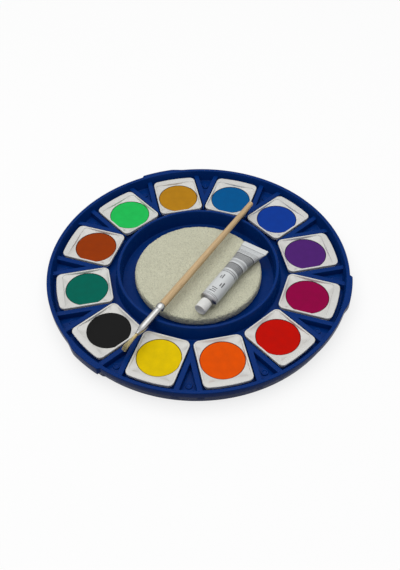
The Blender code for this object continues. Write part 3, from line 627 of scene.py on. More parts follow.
BOSS_DIMPLE_MIDDLE = 0.55 * MM
BOSS_DIMPLE_DEPTH = 0.5 * MM
RIB_DRAFT = 0.06 * MM
TRAY_EDGE = 0.4 * MM
TRAY_FILLET = 0.9 * MM
TRAY_SHARP_EDGE = 0.15 * MM
RIM_STEP_EDGE = 0.1 * MM
RING_CREST_ROUND = 0.8 * MM
BOSS_RIM_DISTANCE = 7.4 * MM


def grip_shift(angle, depth):
    """How far the rim and skirt swell out at an angle, for the three grips."""
    place = (angle - GRIP_FIRST_ANGLE) % (2 * pi / GRIP_COUNT)
    if place < GRIP_RAMP:
        return depth * (1 - cos(pi * place / GRIP_RAMP)) / 2
    if place < GRIP_SPAN:
        return depth
    if place < GRIP_SPAN + GRIP_STEP:
        return depth * (1 - (place - GRIP_SPAN) / GRIP_STEP)
    return 0.0


def tray_angles():
    """Even steps round the tray, with close stations at each grip's sharp end."""
    step = 2 * pi / TRAY_SEGMENTS
    ends = []
    for index in range(GRIP_COUNT):
        end = (GRIP_FIRST_ANGLE + GRIP_SPAN + index * 2 * pi / GRIP_COUNT) % (2 * pi)
        ends += [end, end + GRIP_STEP]
    even = [index * step for index in range(TRAY_SEGMENTS)]
    return sorted([angle for angle in even if all(abs(angle - end) > step / 3 for end in ends)] + ends)


def tray_profile(sizes):
    """(radius, height) with rounded corners, from the base's centre up and round to the well."""
    under = FLOOR_HEIGHT - FLOOR_THICKNESS
    crest_outer = RING_FOOT_OUTER - RING_OUTER_LEAN
    crest_inner = crest_outer - RING_CREST_WIDTH
    wall_top = RIM_WALL_FOOT + RIM_WALL_LEAN
    radius = wall_top + sizes.rim_width
    skirt_top = radius - LIP_OVERHANG
    skirt_foot = skirt_top - SKIRT_LEAN
    rim = sizes.rim_height
    edge, fillet, sharp = TRAY_EDGE, TRAY_FILLET, TRAY_SHARP_EDGE
    return round_corners([
        (0, 0, 0),
        (crest_inner, 0, edge),
        (crest_inner + under, under, edge),
        (skirt_foot - SKIRT_WALL, under, edge),
        (skirt_foot - SKIRT_WALL, 0, sharp),
        (skirt_foot, 0, sharp),
        (skirt_top, rim - LIP_DEPTH, edge),
        (radius, rim - LIP_DEPTH, sharp),
        (radius, rim, LIP_ROUND),
        (wall_top + RIM_STEP_WIDTH + RIM_STEP, rim, RIM_STEP_EDGE),
        (wall_top + RIM_STEP_WIDTH, rim - RIM_STEP, sharp),
        (wall_top, rim - RIM_STEP, edge),
        (RIM_WALL_FOOT, FLOOR_HEIGHT, fillet),
        (RING_FOOT_OUTER, FLOOR_HEIGHT, fillet),
        (crest_outer, sizes.ring_height, RING_CREST_ROUND),
        (crest_inner, sizes.ring_height, RING_CREST_ROUND),
        (crest_inner - RING_INNER_LEAN, WELL_FLOOR, fillet),
        (0, WELL_FLOOR, 0),
    ], 4)


def inset_polygon(corners, inset):
    """The same closed outline with every side moved in by inset, corners kept sharp."""
    moved = []
    for index, here in enumerate(corners):
        before = (here - corners[index - 1]).normalized()
        after = (corners[(index + 1) % len(corners)] - here).normalized()
        normal_before = Vector((-before.y, before.x))
        normal_after = Vector((-after.y, after.x))
        middle = (normal_before + normal_after).normalized()
        moved.append(here + middle * inset / max(middle.dot(normal_after), 0.2))
    return moved


def rib_outline(sizes):
    """The V between two pans, pointing at the well, with +X along its middle, counter-clockwise."""
    face = PAN_HALF_WIDTH + RIB_PAN_GAP
    inner_face = face + sizes.rib_width
    tip = RING_FOOT_OUTER + RIB_NECK_REACH
    neck_end = (face + RIB_NECK_HALF * cos(HALF_PITCH)) / sin(HALF_PITCH)
    pocket_tip = inner_face / sin(HALF_PITCH)
    end_radius = RIM_WALL_FOOT + RIM_WALL_LEAN
    outer_turn = HALF_PITCH - asin(face / end_radius)
    inner_turn = HALF_PITCH - asin(inner_face / end_radius)
    outer_end = Vector((end_radius * cos(outer_turn), end_radius * sin(outer_turn)))
    inner_end = Vector((end_radius * cos(inner_turn), end_radius * sin(inner_turn)))
    upper = [outer_end, Vector((neck_end, RIB_NECK_HALF)), Vector((tip, RIB_NECK_HALF))]
    lower = [Vector((point.x, -point.y)) for point in reversed(upper)]
    return upper + lower + [Vector((inner_end.x, -inner_end.y)), Vector((pocket_tip, 0.0)), inner_end]


def add_ribs(bm, sizes):
    outline = rib_outline(sizes)
    top = FLOOR_HEIGHT + sizes.rib_height
    rises = [(0.0, FLOOR_HEIGHT - RIB_ROOT), (RIB_DRAFT, top - RIB_EDGE)]
    for step in range(1, 5):
        turn = pi / 2 * step / 4
        rises.append((RIB_DRAFT + RIB_EDGE * (1 - cos(turn)), top - RIB_EDGE * (1 - sin(turn))))
    boss_profile = round_corners([
        (0, BOSS_HEIGHT - BOSS_DIMPLE_MIDDLE, 0),
        (BOSS_RADIUS * 0.45, BOSS_HEIGHT - BOSS_DIMPLE_DEPTH, 0.2 * MM),
        (BOSS_RADIUS * 0.6, BOSS_HEIGHT, 0.25 * MM),
        (BOSS_RADIUS * 0.95, BOSS_HEIGHT, 0.25 * MM),
        (BOSS_RADIUS, -RIB_ROOT, 0),
    ], 3)
    boss_place = RIM_WALL_FOOT - BOSS_RIM_DISTANCE
    boss_centre = (boss_place, 0.0)
    for index in range(PAN_COUNT):
        turn = Matrix.Rotation(FIRST_PAN_ANGLE + HALF_PITCH + index * PAN_PITCH, 4, "Z")
        loops = []
        for inset, height in rises:
            loops.append(add_loop(bm, [
                turn @ Vector((point.x, point.y, height)) for point in inset_polygon(outline, inset)
            ]))
        for first, second in zip(loops, loops[1:]):
            bridge(bm, first, second)
        bm.faces.new(loops[0])
        bm.faces.new(loops[-1])
        rings = [
            [turn @ Vector(point) for point in circle(radius, FLOOR_HEIGHT + height, 32, boss_centre)]
            for radius, height in boss_profile[1:]
        ]
        low = turn @ Vector((boss_place, 0, FLOOR_HEIGHT - RIB_ROOT))
        high = turn @ Vector((boss_place, 0, FLOOR_HEIGHT + boss_profile[0][1]))
        loft(bm, rings, first_tip=high, last_tip=low)


def make_tray(sizes):
    shell = bmesh.new()
    angles = tray_angles()
    grip_from = RIM_WALL_FOOT + RIM_WALL_LEAN + RIM_STEP_WIDTH / 2
    rim_edge = RIM_WALL_FOOT + RIM_WALL_LEAN + sizes.rim_width
    skirt_inside = rim_edge - LIP_OVERHANG - SKIRT_LEAN - SKIRT_WALL / 2
    lip_foot = sizes.rim_height - LIP_DEPTH
    previous = None
    for radius, height in tray_profile(sizes):
        on_skirt = skirt_inside < radius and height < lip_foot - LIP_EDGE
        on_lip_foot = radius > grip_from - LIP_OVERHANG and abs(height - lip_foot) <= LIP_EDGE
        share = 1.0 if radius > grip_from and height > lip_foot - LIP_EDGE else 0.0
        share = GRIP_SKIRT_SHARE if on_skirt else share
        if radius < 1e-9:
            current = shell.verts.new((0, 0, height))
        else:
            current = []
            for angle in angles:
                swell = grip_shift(angle, 1.0)
                reach = radius + swell * share * sizes.grip_depth
                level = height - (swell * GRIP_LIP_DROP if on_lip_foot else 0)
                current.append(shell.verts.new((reach * cos(angle), reach * sin(angle), level)))
        if previous is not None:
            join_rings(shell, previous, current)
        previous = current
    plastic = moulded_plastic("tray_blue_plastic", tuple(sizes.plastic), 0.26, 30.0, TRAY_SHINE)
    tray = finish_piece("moulded_tray", shell, [plastic], Matrix.Identity(4))
    ribs = bmesh.new()
    add_ribs(ribs, sizes)
    guide = finish_piece("rib_guide", ribs, [plastic], Matrix.Identity(4))
    join = tray.modifiers.new("ribs", "BOOLEAN")
    join.operation = "UNION"
    join.solver = "EXACT"
    join.object = guide
    bpy.context.view_layer.update()
    joined = bpy.data.meshes.new_from_object(tray.evaluated_get(bpy.context.evaluated_depsgraph_get()))
    tray.modifiers.clear()
    tray.data = joined
    joined.shade_smooth()
    joined.set_sharp_from_angle(angle=radians(32))
    bpy.data.objects.remove(guide)
    take_place(tray, "tray", "tray")


# Pans and tablets

# Darkness of the pocket's paint dust and painted shade, as a share of the paint's colour.
STAIN_AND_SHADE_DEPTH = 0.15
PAN_CORNER_STEPS = 8
PAN_SIDE_STEPS = 8
CREASE_DISTANCE = 0.95 * MM
CREASE_HEIGHT = 9.75 * MM
SHELF_CORNER_RISE = 1.55 * MM
SHELF_CORNER_REACH = 5.2 * MM
SHELF_DROP = 0.15 * MM
LIP_TURN = 0.12 * MM
LIP_TURN_DROP = 0.08 * MM
LIP_WALL_DROP = 0.35 * MM
LIP_SLOPE_REACH = 3.5 * MM
SHELF_CORNER_RADIUS = 2.2 * MM
BORDER_ROUND = 0.45 * MM
BORDER_ROUND_STEPS = 4
POCKET_EDGE = 0.05 * MM
FLANGE_THICKNESS = 1.0 * MM
FLANGE_CHAMFER = 0.1 * MM
FLANGE_OVERHANG = 0.5 * MM
CUP_WALL = 0.75 * MM


def pan_loop(inner, outer, half_width, corner, curved):
    """A rounded oblong round the tablet's centre; its outer end may follow the tray's curve."""
    side = half_width - corner
    if curved:
        end_radius = PITCH_RADIUS + outer
        middle = sqrt((end_radius - corner) ** 2 - side ** 2) - PITCH_RADIUS
        edge_turn = atan2(side, middle + PITCH_RADIUS)
    else:
        end_radius, middle, edge_turn = 0.0, outer - corner, 0.0
    points = []
    for step in range(PAN_SIDE_STEPS):
        share = 2 * step / PAN_SIDE_STEPS - 1
        if curved:
            angle = edge_turn * share
            points.append(Vector((end_radius * cos(angle) - PITCH_RADIUS, end_radius * sin(angle))))
        else:
            points.append(Vector((outer, side * share)))
    corners = [
        (middle, side, edge_turn, pi / 2), (corner - inner, side, pi / 2, pi),
        (corner - inner, -side, pi, 3 * pi / 2), (middle, -side, 3 * pi / 2, 2 * pi - edge_turn),
    ]
    for index, (x, y, start, end) in enumerate(corners):
        steps = PAN_CORNER_STEPS
        for step in range(steps):
            angle = start + (end - start) * step / steps
            points.append(Vector((x + corner * cos(angle), y + corner * sin(angle))))
        if index == 3:
            break
        last = Vector((x + corner * cos(end), y + corner * sin(end)))
        following = corners[index + 1]
        start_turn = following[2]
        first = Vector((following[0] + corner * cos(start_turn), following[1] + corner * sin(start_turn)))
        for step in range(PAN_SIDE_STEPS):
            points.append(last.lerp(first, step / PAN_SIDE_STEPS))
    return points


def raised(points, height):
    return [Vector((point.x, point.y, height)) for point in points]


def around(points, radius, height):
    """Points on a circle in the same directions as those of a loop."""
    lift = Vector((0, 0, height))
    return [Vector((point.x, point.y, 0)).normalized() * radius + lift for point in points]


def pan_sections(sizes):
    """Loops of a pan from the middle of its pocket, over the border and under to its cup."""
    border = sizes.border_width

    def outline(inset):
        return pan_loop(
            PAN_INNER_LENGTH - inset, PAN_OUTER_LENGTH - inset, PAN_HALF_WIDTH - inset,
            PAN_CORNER_RADIUS - inset, True,
        )

    half = POCKET_RADIUS + POCKET_EDGE
    crease = POCKET_RADIUS + CREASE_DISTANCE
    shelf_loop = pan_loop(half, crease - SHELF_DROP, half, SHELF_CORNER_RADIUS, False)
    lip_loop = pan_loop(
        PAN_INNER_LENGTH - border, crease, PAN_HALF_WIDTH - border, PAN_CORNER_RADIUS - border, False,
    )

    def shelf_height(point):
        """The shelf rises from the pocket's edge into the corners."""
        reach = hypot(point.x, point.y) - POCKET_RADIUS
        return SHELF_TOP + SHELF_CORNER_RISE * min(1.0, reach / SHELF_CORNER_REACH)

    def lip_height(point, drop):
        """The raised edge is lower along the outer slope's inner crease."""
        share = min(1.0, max(0.0, (point.x - crease + LIP_SLOPE_REACH) / LIP_SLOPE_REACH))
        ease = share * share * (3 - 2 * share)
        return PAN_TOP - drop + (CREASE_HEIGHT - PAN_TOP) * ease

    wall = [Vector((p.x, p.y, lip_height(p, LIP_WALL_DROP))) for p in lip_loop]
    shelf = [
        Vector((p.x, p.y, min(shelf_height(p), top.z - SHELF_DROP))) for p, top in zip(shelf_loop, wall)
    ]
    inner_edge = pan_loop(
        PAN_INNER_LENGTH - border + LIP_TURN, crease + LIP_TURN, PAN_HALF_WIDTH - border + LIP_TURN,
        PAN_CORNER_RADIUS - border + LIP_TURN, False,
    )
    lip = [Vector((p.x, p.y, lip_height(p, LIP_TURN_DROP))) for p in inner_edge]
    rounding = []
    for step in range(BORDER_ROUND_STEPS + 1):
        turn = pi / 2 * step / BORDER_ROUND_STEPS
        rounding.append(raised(
            outline(BORDER_ROUND * (1 - sin(turn))), PAN_TOP - BORDER_ROUND * (1 - cos(turn)),
        ))
    cup = POCKET_RADIUS + CUP_WALL
    return [
        around(lip_loop, POCKET_RADIUS * 0.5, POCKET_FLOOR),
        around(lip_loop, POCKET_RADIUS - 0.35 * MM, POCKET_FLOOR),
        around(lip_loop, POCKET_RADIUS - POCKET_EDGE, POCKET_FLOOR + 0.3 * MM),
        around(lip_loop, POCKET_RADIUS, SHELF_TOP - 0.2 * MM),
        around(lip_loop, POCKET_RADIUS + POCKET_EDGE, SHELF_TOP - POCKET_EDGE),
        shelf,
        wall,
        lip,
        *rounding,
        raised(outline(0), PAN_TOP - FLANGE_THICKNESS + FLANGE_CHAMFER),
        raised(outline(FLANGE_CHAMFER), PAN_TOP - FLANGE_THICKNESS),
        raised(outline(FLANGE_OVERHANG), PAN_TOP - FLANGE_THICKNESS),
        raised(outline(FLANGE_OVERHANG + POCKET_EDGE), SHELF_TOP - FLANGE_THICKNESS),
        around(lip_loop, cup, SHELF_TOP - FLANGE_THICKNESS),
        around(lip_loop, cup - 0.1 * MM, PAN_BOTTOM + 0.3 * MM),
        around(lip_loop, cup - 0.4 * MM, PAN_BOTTOM),
    ]


def make_pans(sizes):
    sections = pan_sections(sizes)
    tablet_radius = sizes.tablet_diameter / 2
    tablet_profile = round_corners([
        (0, PAINT_TOP - 0.06 * MM, 0),
        (tablet_radius * 0.8, PAINT_TOP - 0.05 * MM, 2 * MM),
        (tablet_radius - 0.8 * MM, PAINT_TOP, 0.5 * MM),
        (tablet_radius, PAINT_TOP, sizes.tablet_round),
        (tablet_radius, PAINT_BOTTOM, 0.3 * MM),
        (0, PAINT_BOTTOM, 0),
    ], 4)
    for index, (name, shade) in enumerate(PAINTS.items()):
        turn = FIRST_PAN_ANGLE + index * PAN_PITCH
        place = Matrix.Rotation(turn, 4, "Z") @ Matrix.Translation((PITCH_RADIUS, 0, 0))
        pan = bmesh.new()
        loft(pan, sections, first_tip=(0, 0, POCKET_FLOOR), last_tip=(0, 0, PAN_BOTTOM))
        # The pocket's colour: paint dust and painted shade of the gap round the tablet.
        stain_and_shade = scaled(shade, STAIN_AND_SHADE_DEPTH)
        white = stained_shaded_plastic("pan_white_plastic_" + name, tuple(sizes.plastic), stain_and_shade)
        shell = finish_piece("lift_out_pan_" + name, pan, [white], place)
        take_place(shell, "pan_" + name + "_body", "pan_" + name)
        tablet = bmesh.new()
        turn_profile(tablet, tablet_profile, 96)
        cake = finish_piece("tablet_" + name, tablet, [pressed_paint("paint_" + name, shade)], place)
        take_place(cake, "pan_" + name + "_body", "paint_" + name)


# Sponge

SPONGE_RING_STEP = 0.45 * MM
SPONGE_SEGMENTS = 600
SPONGE_EDGE = 2.6 * MM
SPONGE_RAGGED_WIDTH = 4.5 * MM


def pore_depth(point, size, depth):
    """How deep the foam's face is hollowed at a point: round pores over a soft unevenness."""
    distances, _ = noise.voronoi(point / size)
    pore = max(0.0, 1.0 - distances[0] / 0.55)
    rough = noise.fractal(point / (size * 2.2), 0.8, 2.0, 3)
    uneven = noise.noise(point / (9 * MM))
    return depth * pore + 0.12 * MM * (rough + 0.7) + 0.1 * MM * (uneven + 1)


def make_sponge(sizes):
    low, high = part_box("sponge")
    radius = (high.x - low.x) / 2
    bottom, top = low.z, high.z
    profile = round_corners([
        (0, bottom, 0), (radius, bottom, SPONGE_EDGE), (radius, top, SPONGE_EDGE), (0, top, 0),
    ], 5)
    stations = [profile[0]]
    for point in profile[1:]:
        gap = point - stations[-1]
        steps = max(1, round(gap.length / SPONGE_RING_STEP))
        start = stations[-1]
        stations += [start + gap * (step + 1) / steps for step in range(steps)]
    bm = bmesh.new()
    turn_profile(bm, stations, SPONGE_SEGMENTS)
    bmesh.ops.recalc_face_normals(bm, faces=bm.faces)
    bm.normal_update()
    for vert in bm.verts:
        if vert.co.z > bottom + 0.5 * MM:
            edge = max(0.0, 1 - (radius - hypot(vert.co.x, vert.co.y)) / SPONGE_RAGGED_WIDTH)
            vert.co -= vert.normal * pore_depth(vert.co, sizes.pore_size, sizes.pore_depth) * (1 + edge)
    sponge = finish_piece("foam_sponge", bm, [open_cell_foam(tuple(sizes.foam))], Matrix.Identity(4), pi)
    take_place(sponge, "sponge_body", "sponge")


# Brush: local X runs from the bristles to the handle's end, zero where handle meets ferrule

RING_HEIGHT = 14.8 * MM
RING_CREST_MIDDLE = RING_FOOT_OUTER - RING_OUTER_LEAN - RING_CREST_WIDTH / 2
HANDLE_END_DIAMETER = 3.9 * MM
HANDLE_END_ROUND = 1.6 * MM
HANDLE_TAPER_POWER = 1.5
HANDLE_FRONT_EDGE = 0.12 * MM
TENON_LENGTH = 14.0 * MM
FERRULE_RADIUS = 2.6 * MM
FERRULE_WALL = 0.3 * MM
FERRULE_BEAD_LENGTH = 3.8 * MM
FERRULE_BEAD_HEIGHT = 0.4 * MM
FERRULE_FLAT_LENGTH = 8.0 * MM
FERRULE_FLAT_THICKNESS = 2.0 * MM
FERRULE_FLAT_WIDTH = 7.0 * MM
FERRULE_SEGMENTS = 72
BRISTLE_ROOT_DEPTH = 3.6 * MM
BRISTLE_TIP_THICKNESS = 3.2 * MM
BRISTLE_TIP_WIDTH = 7.6 * MM
# Olive grey at the bristle tip: painted shade.
BRISTLE_TIP_SHADED_COLOUR = (0.56, 0.50, 0.27)


def handle_radius(place, sizes):
    share = max(place, 0.0) / sizes.handle_length
    end = HANDLE_END_DIAMETER / 2
    return sizes.handle_diameter / 2 + (end - sizes.handle_diameter / 2) * share ** HANDLE_TAPER_POWER


def brush_placement(sizes):
    """The brush rests on the ring's crest at two points, which sets its height and its tilt."""
    half_chord = sqrt(RING_CREST_MIDDLE ** 2 - BRUSH_SIDE_OFFSET ** 2)
    joint_reach = BRUSH_END_REACH - sizes.handle_length
    handle_height = RING_HEIGHT + SEAT_GAP + handle_radius(half_chord - joint_reach, sizes)
    ferrule_height = RING_HEIGHT + SEAT_GAP + FERRULE_RADIUS
    tilt = atan2(handle_height - ferrule_height, 2 * half_chord)
    joint_height = ferrule_height + (half_chord + joint_reach) * sin(tilt)
    turn = Matrix.Rotation(BRUSH_ANGLE, 4, "Z")
    shift = Matrix.Translation((joint_reach, -BRUSH_SIDE_OFFSET, joint_height))
    return turn @ shift @ Matrix.Rotation(-tilt, 4, "Y")


def make_handle(sizes, place):
    tenon = FERRULE_RADIUS - 2 * FERRULE_WALL
    full = sizes.handle_length
    profile = [
        (0, -TENON_LENGTH), (tenon * 0.9, -TENON_LENGTH),
        (tenon, -TENON_LENGTH + 0.3 * MM), (tenon, SEAT_GAP),
    ]
    steps = 60
    round_start = full - HANDLE_END_ROUND
    profile.append((handle_radius(0, sizes) - HANDLE_FRONT_EDGE, SEAT_GAP))
    edge = SEAT_GAP + HANDLE_FRONT_EDGE
    for step in range(steps + 1):
        x = edge + (round_start - edge) * step / steps
        profile.append((handle_radius(x, sizes), x))
    end_radius = handle_radius(round_start, sizes)
    for step in range(1, 8):
        turn = pi / 2 * step / 8
        profile.append((end_radius * cos(turn) ** 0.8, round_start + HANDLE_END_ROUND * sin(turn)))
    profile.append((0, full))

    def whittle(angle, radius, x):
        """Slight unevenness of turned wood, only ever below the true radius."""
        if x < SEAT_GAP:
            return 0.0
        wobble = noise.noise(Vector((x * 60, cos(angle), sin(angle))))
        return -0.03 * MM * (1 + wobble)

    bm = bmesh.new()
    turn_profile(bm, profile, 64, "X", whittle)
    handle = finish_piece("turned_handle", bm, [raw_wood(tuple(sizes.wood))], place)
    take_place(handle, "brush_body", "brush_handle")


def stadium(place, radius, spread, segments, drop=0.0):
    """A round section pulled apart along Y by spread on each side."""
    points = []
    for index in range(segments):
        angle = 2 * pi * (index + 0.5) / segments
        shift = spread if cos(angle) > 0 else -spread
        points.append((place, radius * cos(angle) + shift, radius * sin(angle) - drop))
    return points


def ferrule_stations(length_over_all):
    """Place, radius and spread of the ferrule's outer sections, from the handle to the bristles."""
    bead, height = FERRULE_BEAD_LENGTH, FERRULE_BEAD_HEIGHT
    stations = [(0.0, FERRULE_RADIUS - 0.05 * MM, 0.0), (-0.15 * MM, FERRULE_RADIUS + 0.1 * MM, 0.0)]
    for step in range(1, 12):
        share = step / 12
        stations.append((-bead * share, FERRULE_RADIUS + height * sin(pi * share) ** 0.7, 0.0))
    stations += [
        (-bead, FERRULE_RADIUS - 0.05 * MM, 0.0),
        (-bead - 0.25 * MM, FERRULE_RADIUS - 0.15 * MM, 0.0),
        (-bead - 0.7 * MM, FERRULE_RADIUS - 0.15 * MM, 0.0),
        (-bead - 1.2 * MM, FERRULE_RADIUS, 0.0),
    ]
    flat_start = length_over_all - FERRULE_FLAT_LENGTH
    flat_radius = FERRULE_FLAT_THICKNESS / 2
    flat_spread = FERRULE_FLAT_WIDTH / 2 - flat_radius
    groove_end = bead + 1.2 * MM
    for step in range(1, 12):
        stations.append((-groove_end - (flat_start - groove_end) * step / 12, FERRULE_RADIUS, 0.0))
    steps = 20
    for step in range(steps + 1):
        share = step / steps
        ease = (1 - cos(pi * share)) / 2
        radius = FERRULE_RADIUS + (flat_radius - FERRULE_RADIUS) * ease
        stations.append((-flat_start - FERRULE_FLAT_LENGTH * share, radius, flat_spread * ease))
    return stations


def make_ferrule(sizes, place):
    metal = drawn_metal("ferrule_bright_metal", (0.40, 0.40, 0.395), 0.24)
    stations = ferrule_stations(sizes.ferrule_length)
    bore = FERRULE_RADIUS - FERRULE_WALL
    inner = [
        stadium(x, min(radius - FERRULE_WALL, bore), spread, FERRULE_SEGMENTS)
        for x, radius, spread in reversed(stations)
        if x < -FERRULE_BEAD_LENGTH - 0.1 * MM or x == 0.0
    ]
    outer = [stadium(x, radius, spread, FERRULE_SEGMENTS) for x, radius, spread in stations]
    bm = bmesh.new()
    loops = loft(bm, outer + inner)
    bridge(bm, loops[-1], loops[0])
    ferrule = finish_piece(
        "crimped_ferrule", bm, [metal], place @ Matrix.Rotation(BRUSH_FLAT_TILT, 4, "X"), radians(40),
    )
    take_place(ferrule, "brush_body", "brush_ferrule")


def add_strand(bm, path, radius, tip_share):
    """A tapered strand with four sides along a short path that runs mostly along X."""
    loops = []
    for index, point in enumerate(path):
        reach = radius * (1 - (1 - tip_share) * index / (len(path) - 1))
        loops.append(add_loop(bm, [
            point + Vector((0, reach, 0)), point + Vector((0, 0, reach)),
            point - Vector((0, reach, 0)), point - Vector((0, 0, reach)),
        ]))
    for first, second in zip(loops, loops[1:]):
        bridge(bm, first, second)
    bm.faces.new(loops[0])
    bm.faces.new(loops[-1])


def make_bristles(sizes, place):
    draw = Random(12)
    mouth = -sizes.ferrule_length
    tip = mouth - sizes.bristle_length
    root_thickness = FERRULE_FLAT_THICKNESS / 2 - FERRULE_WALL - 0.15 * MM
    root_width = FERRULE_FLAT_WIDTH / 2 - FERRULE_WALL - 0.3 * MM
    hair = bristle_hair(tuple(sizes.hair), BRISTLE_TIP_SHADED_COLOUR, mouth, tip)
    bm = bmesh.new()
    for _ in range(sizes.strands):
        across, through = draw.uniform(-1, 1), draw.uniform(-1, 1)
        round_off = sqrt(max(0.0, 1 - 0.25 * through * through))
        root_side = across * root_width * round_off
        root = Vector((mouth + BRISTLE_ROOT_DEPTH, root_side, through * root_thickness))
        flare = Vector((
            tip + draw.uniform(0.0, 0.35) * MM,
            across * BRISTLE_TIP_WIDTH / 2 * 0.96 + draw.gauss(0, 0.05) * MM,
            through * BRISTLE_TIP_THICKNESS / 2 * 0.94 + draw.gauss(0, 0.05) * MM,
        ))
        flare.y = max(-BRISTLE_TIP_WIDTH / 2, min(BRISTLE_TIP_WIDTH / 2, flare.y))
        flare.z = max(-BRISTLE_TIP_THICKNESS / 2, min(BRISTLE_TIP_THICKNESS / 2, flare.z))
        bend = Vector((0, draw.gauss(0, 0.05), draw.gauss(0, 0.04))) * MM
        path = []
        for step in range(6):
            share = step / 5
            at_mouth = max(0.0, (root.x - (root.x + (flare.x - root.x) * share) - BRISTLE_ROOT_DEPTH))
            spread = min(1.0, at_mouth / (root.x - flare.x - BRISTLE_ROOT_DEPTH)) ** 1.15
            point = root.lerp(flare, share)
            point.y = root.y + (flare.y - root.y) * spread
            point.z = root.z + (flare.z - root.z) * spread
            path.append(point + bend * sin(pi * share))
        add_strand(bm, path, draw.uniform(0.055, 0.085) * MM, 0.5)
    tuft = finish_piece(
        "bristle_tuft", bm, [hair], place @ Matrix.Rotation(BRUSH_FLAT_TILT, 4, "X"), pi,
    )
    take_place(tuft, "brush_body", "brush_bristles")


# Tube of paint: local X runs from the cap's front to the crimp

CAP_LENGTH = 8.4 * MM
SHOULDER_START = CAP_LENGTH + SEAT_GAP
SHOULDER_LENGTH = 1.7 * MM
TUBE_ROUND_LENGTH = 26.0 * MM
CRIMP_LENGTH = 4.6 * MM
CRIMP_WIDTH = 20.4 * MM
CRIMP_THICKNESS = 1.2 * MM
CRIMP_FOLD_STEP = 0.25 * MM
CRIMP_DROP = 3.3 * MM
FLATTEN_POWER = 2.1
DENT_DEPTH = 0.16 * MM
DENT_FREE_LENGTH = 10 * MM
NECK_RADIUS = 2.9 * MM
NECK_FRONT = SHOULDER_START - 5.8 * MM
NECK_BORE = 1.3 * MM
CAP_BORE = 3.2 * MM
CAP_BORE_FRONT = NECK_FRONT - 1.3 * MM
CAP_RIB_DEPTH = 0.07 * MM
THREAD_PITCH = 1.5 * MM
TUBE_SEGMENTS = 96
# Grey bands of print; the band at 69.7 to 70.0 is a painted shadow of the crimp's fold.
TUBE_PRINT_AND_SHADOW_BANDS = [
    (10.6, 10.9, 0.6), (11.3, 11.65, 0.9), (12.3, 12.8, 0.7),
    (34.5, 35.0, 1.0), (35.5, 35.8, 0.8), (36.3, 36.8, 1.0),
    (38.5, 44.0, 0.55), (44.0, 45.0, 1.0), (46.6, 49.0, 0.35), (50.3, 57.0, 0.5), (57.0, 58.2, 1.0),
    (59.3, 59.7, 0.85), (60.5, 60.9, 0.85), (61.7, 62.1, 0.85), (62.9, 63.3, 0.85), (69.7, 70.0, 0.6),
] + [(38.7 + step * 1.05, 39.2 + step * 1.05, 0.9) for step in range(5)] + [
    (50.6 + step * 1.05, 51.1 + step * 1.05, 0.85) for step in range(6)
]
TUBE_PLAIN_BARS = [
    (14.3, 15.0, -2.4, 2.2), (15.9, 16.6, -2.4, 0.8), (17.5, 18.2, -2.4, 1.6), (20.8, 25.4, -4.1, -3.4),
    (20.8, 23.8, -2.7, -2.0), (27.4, 31.6, -0.4, 0.4), (27.4, 30.2, 1.1, 1.8),
]


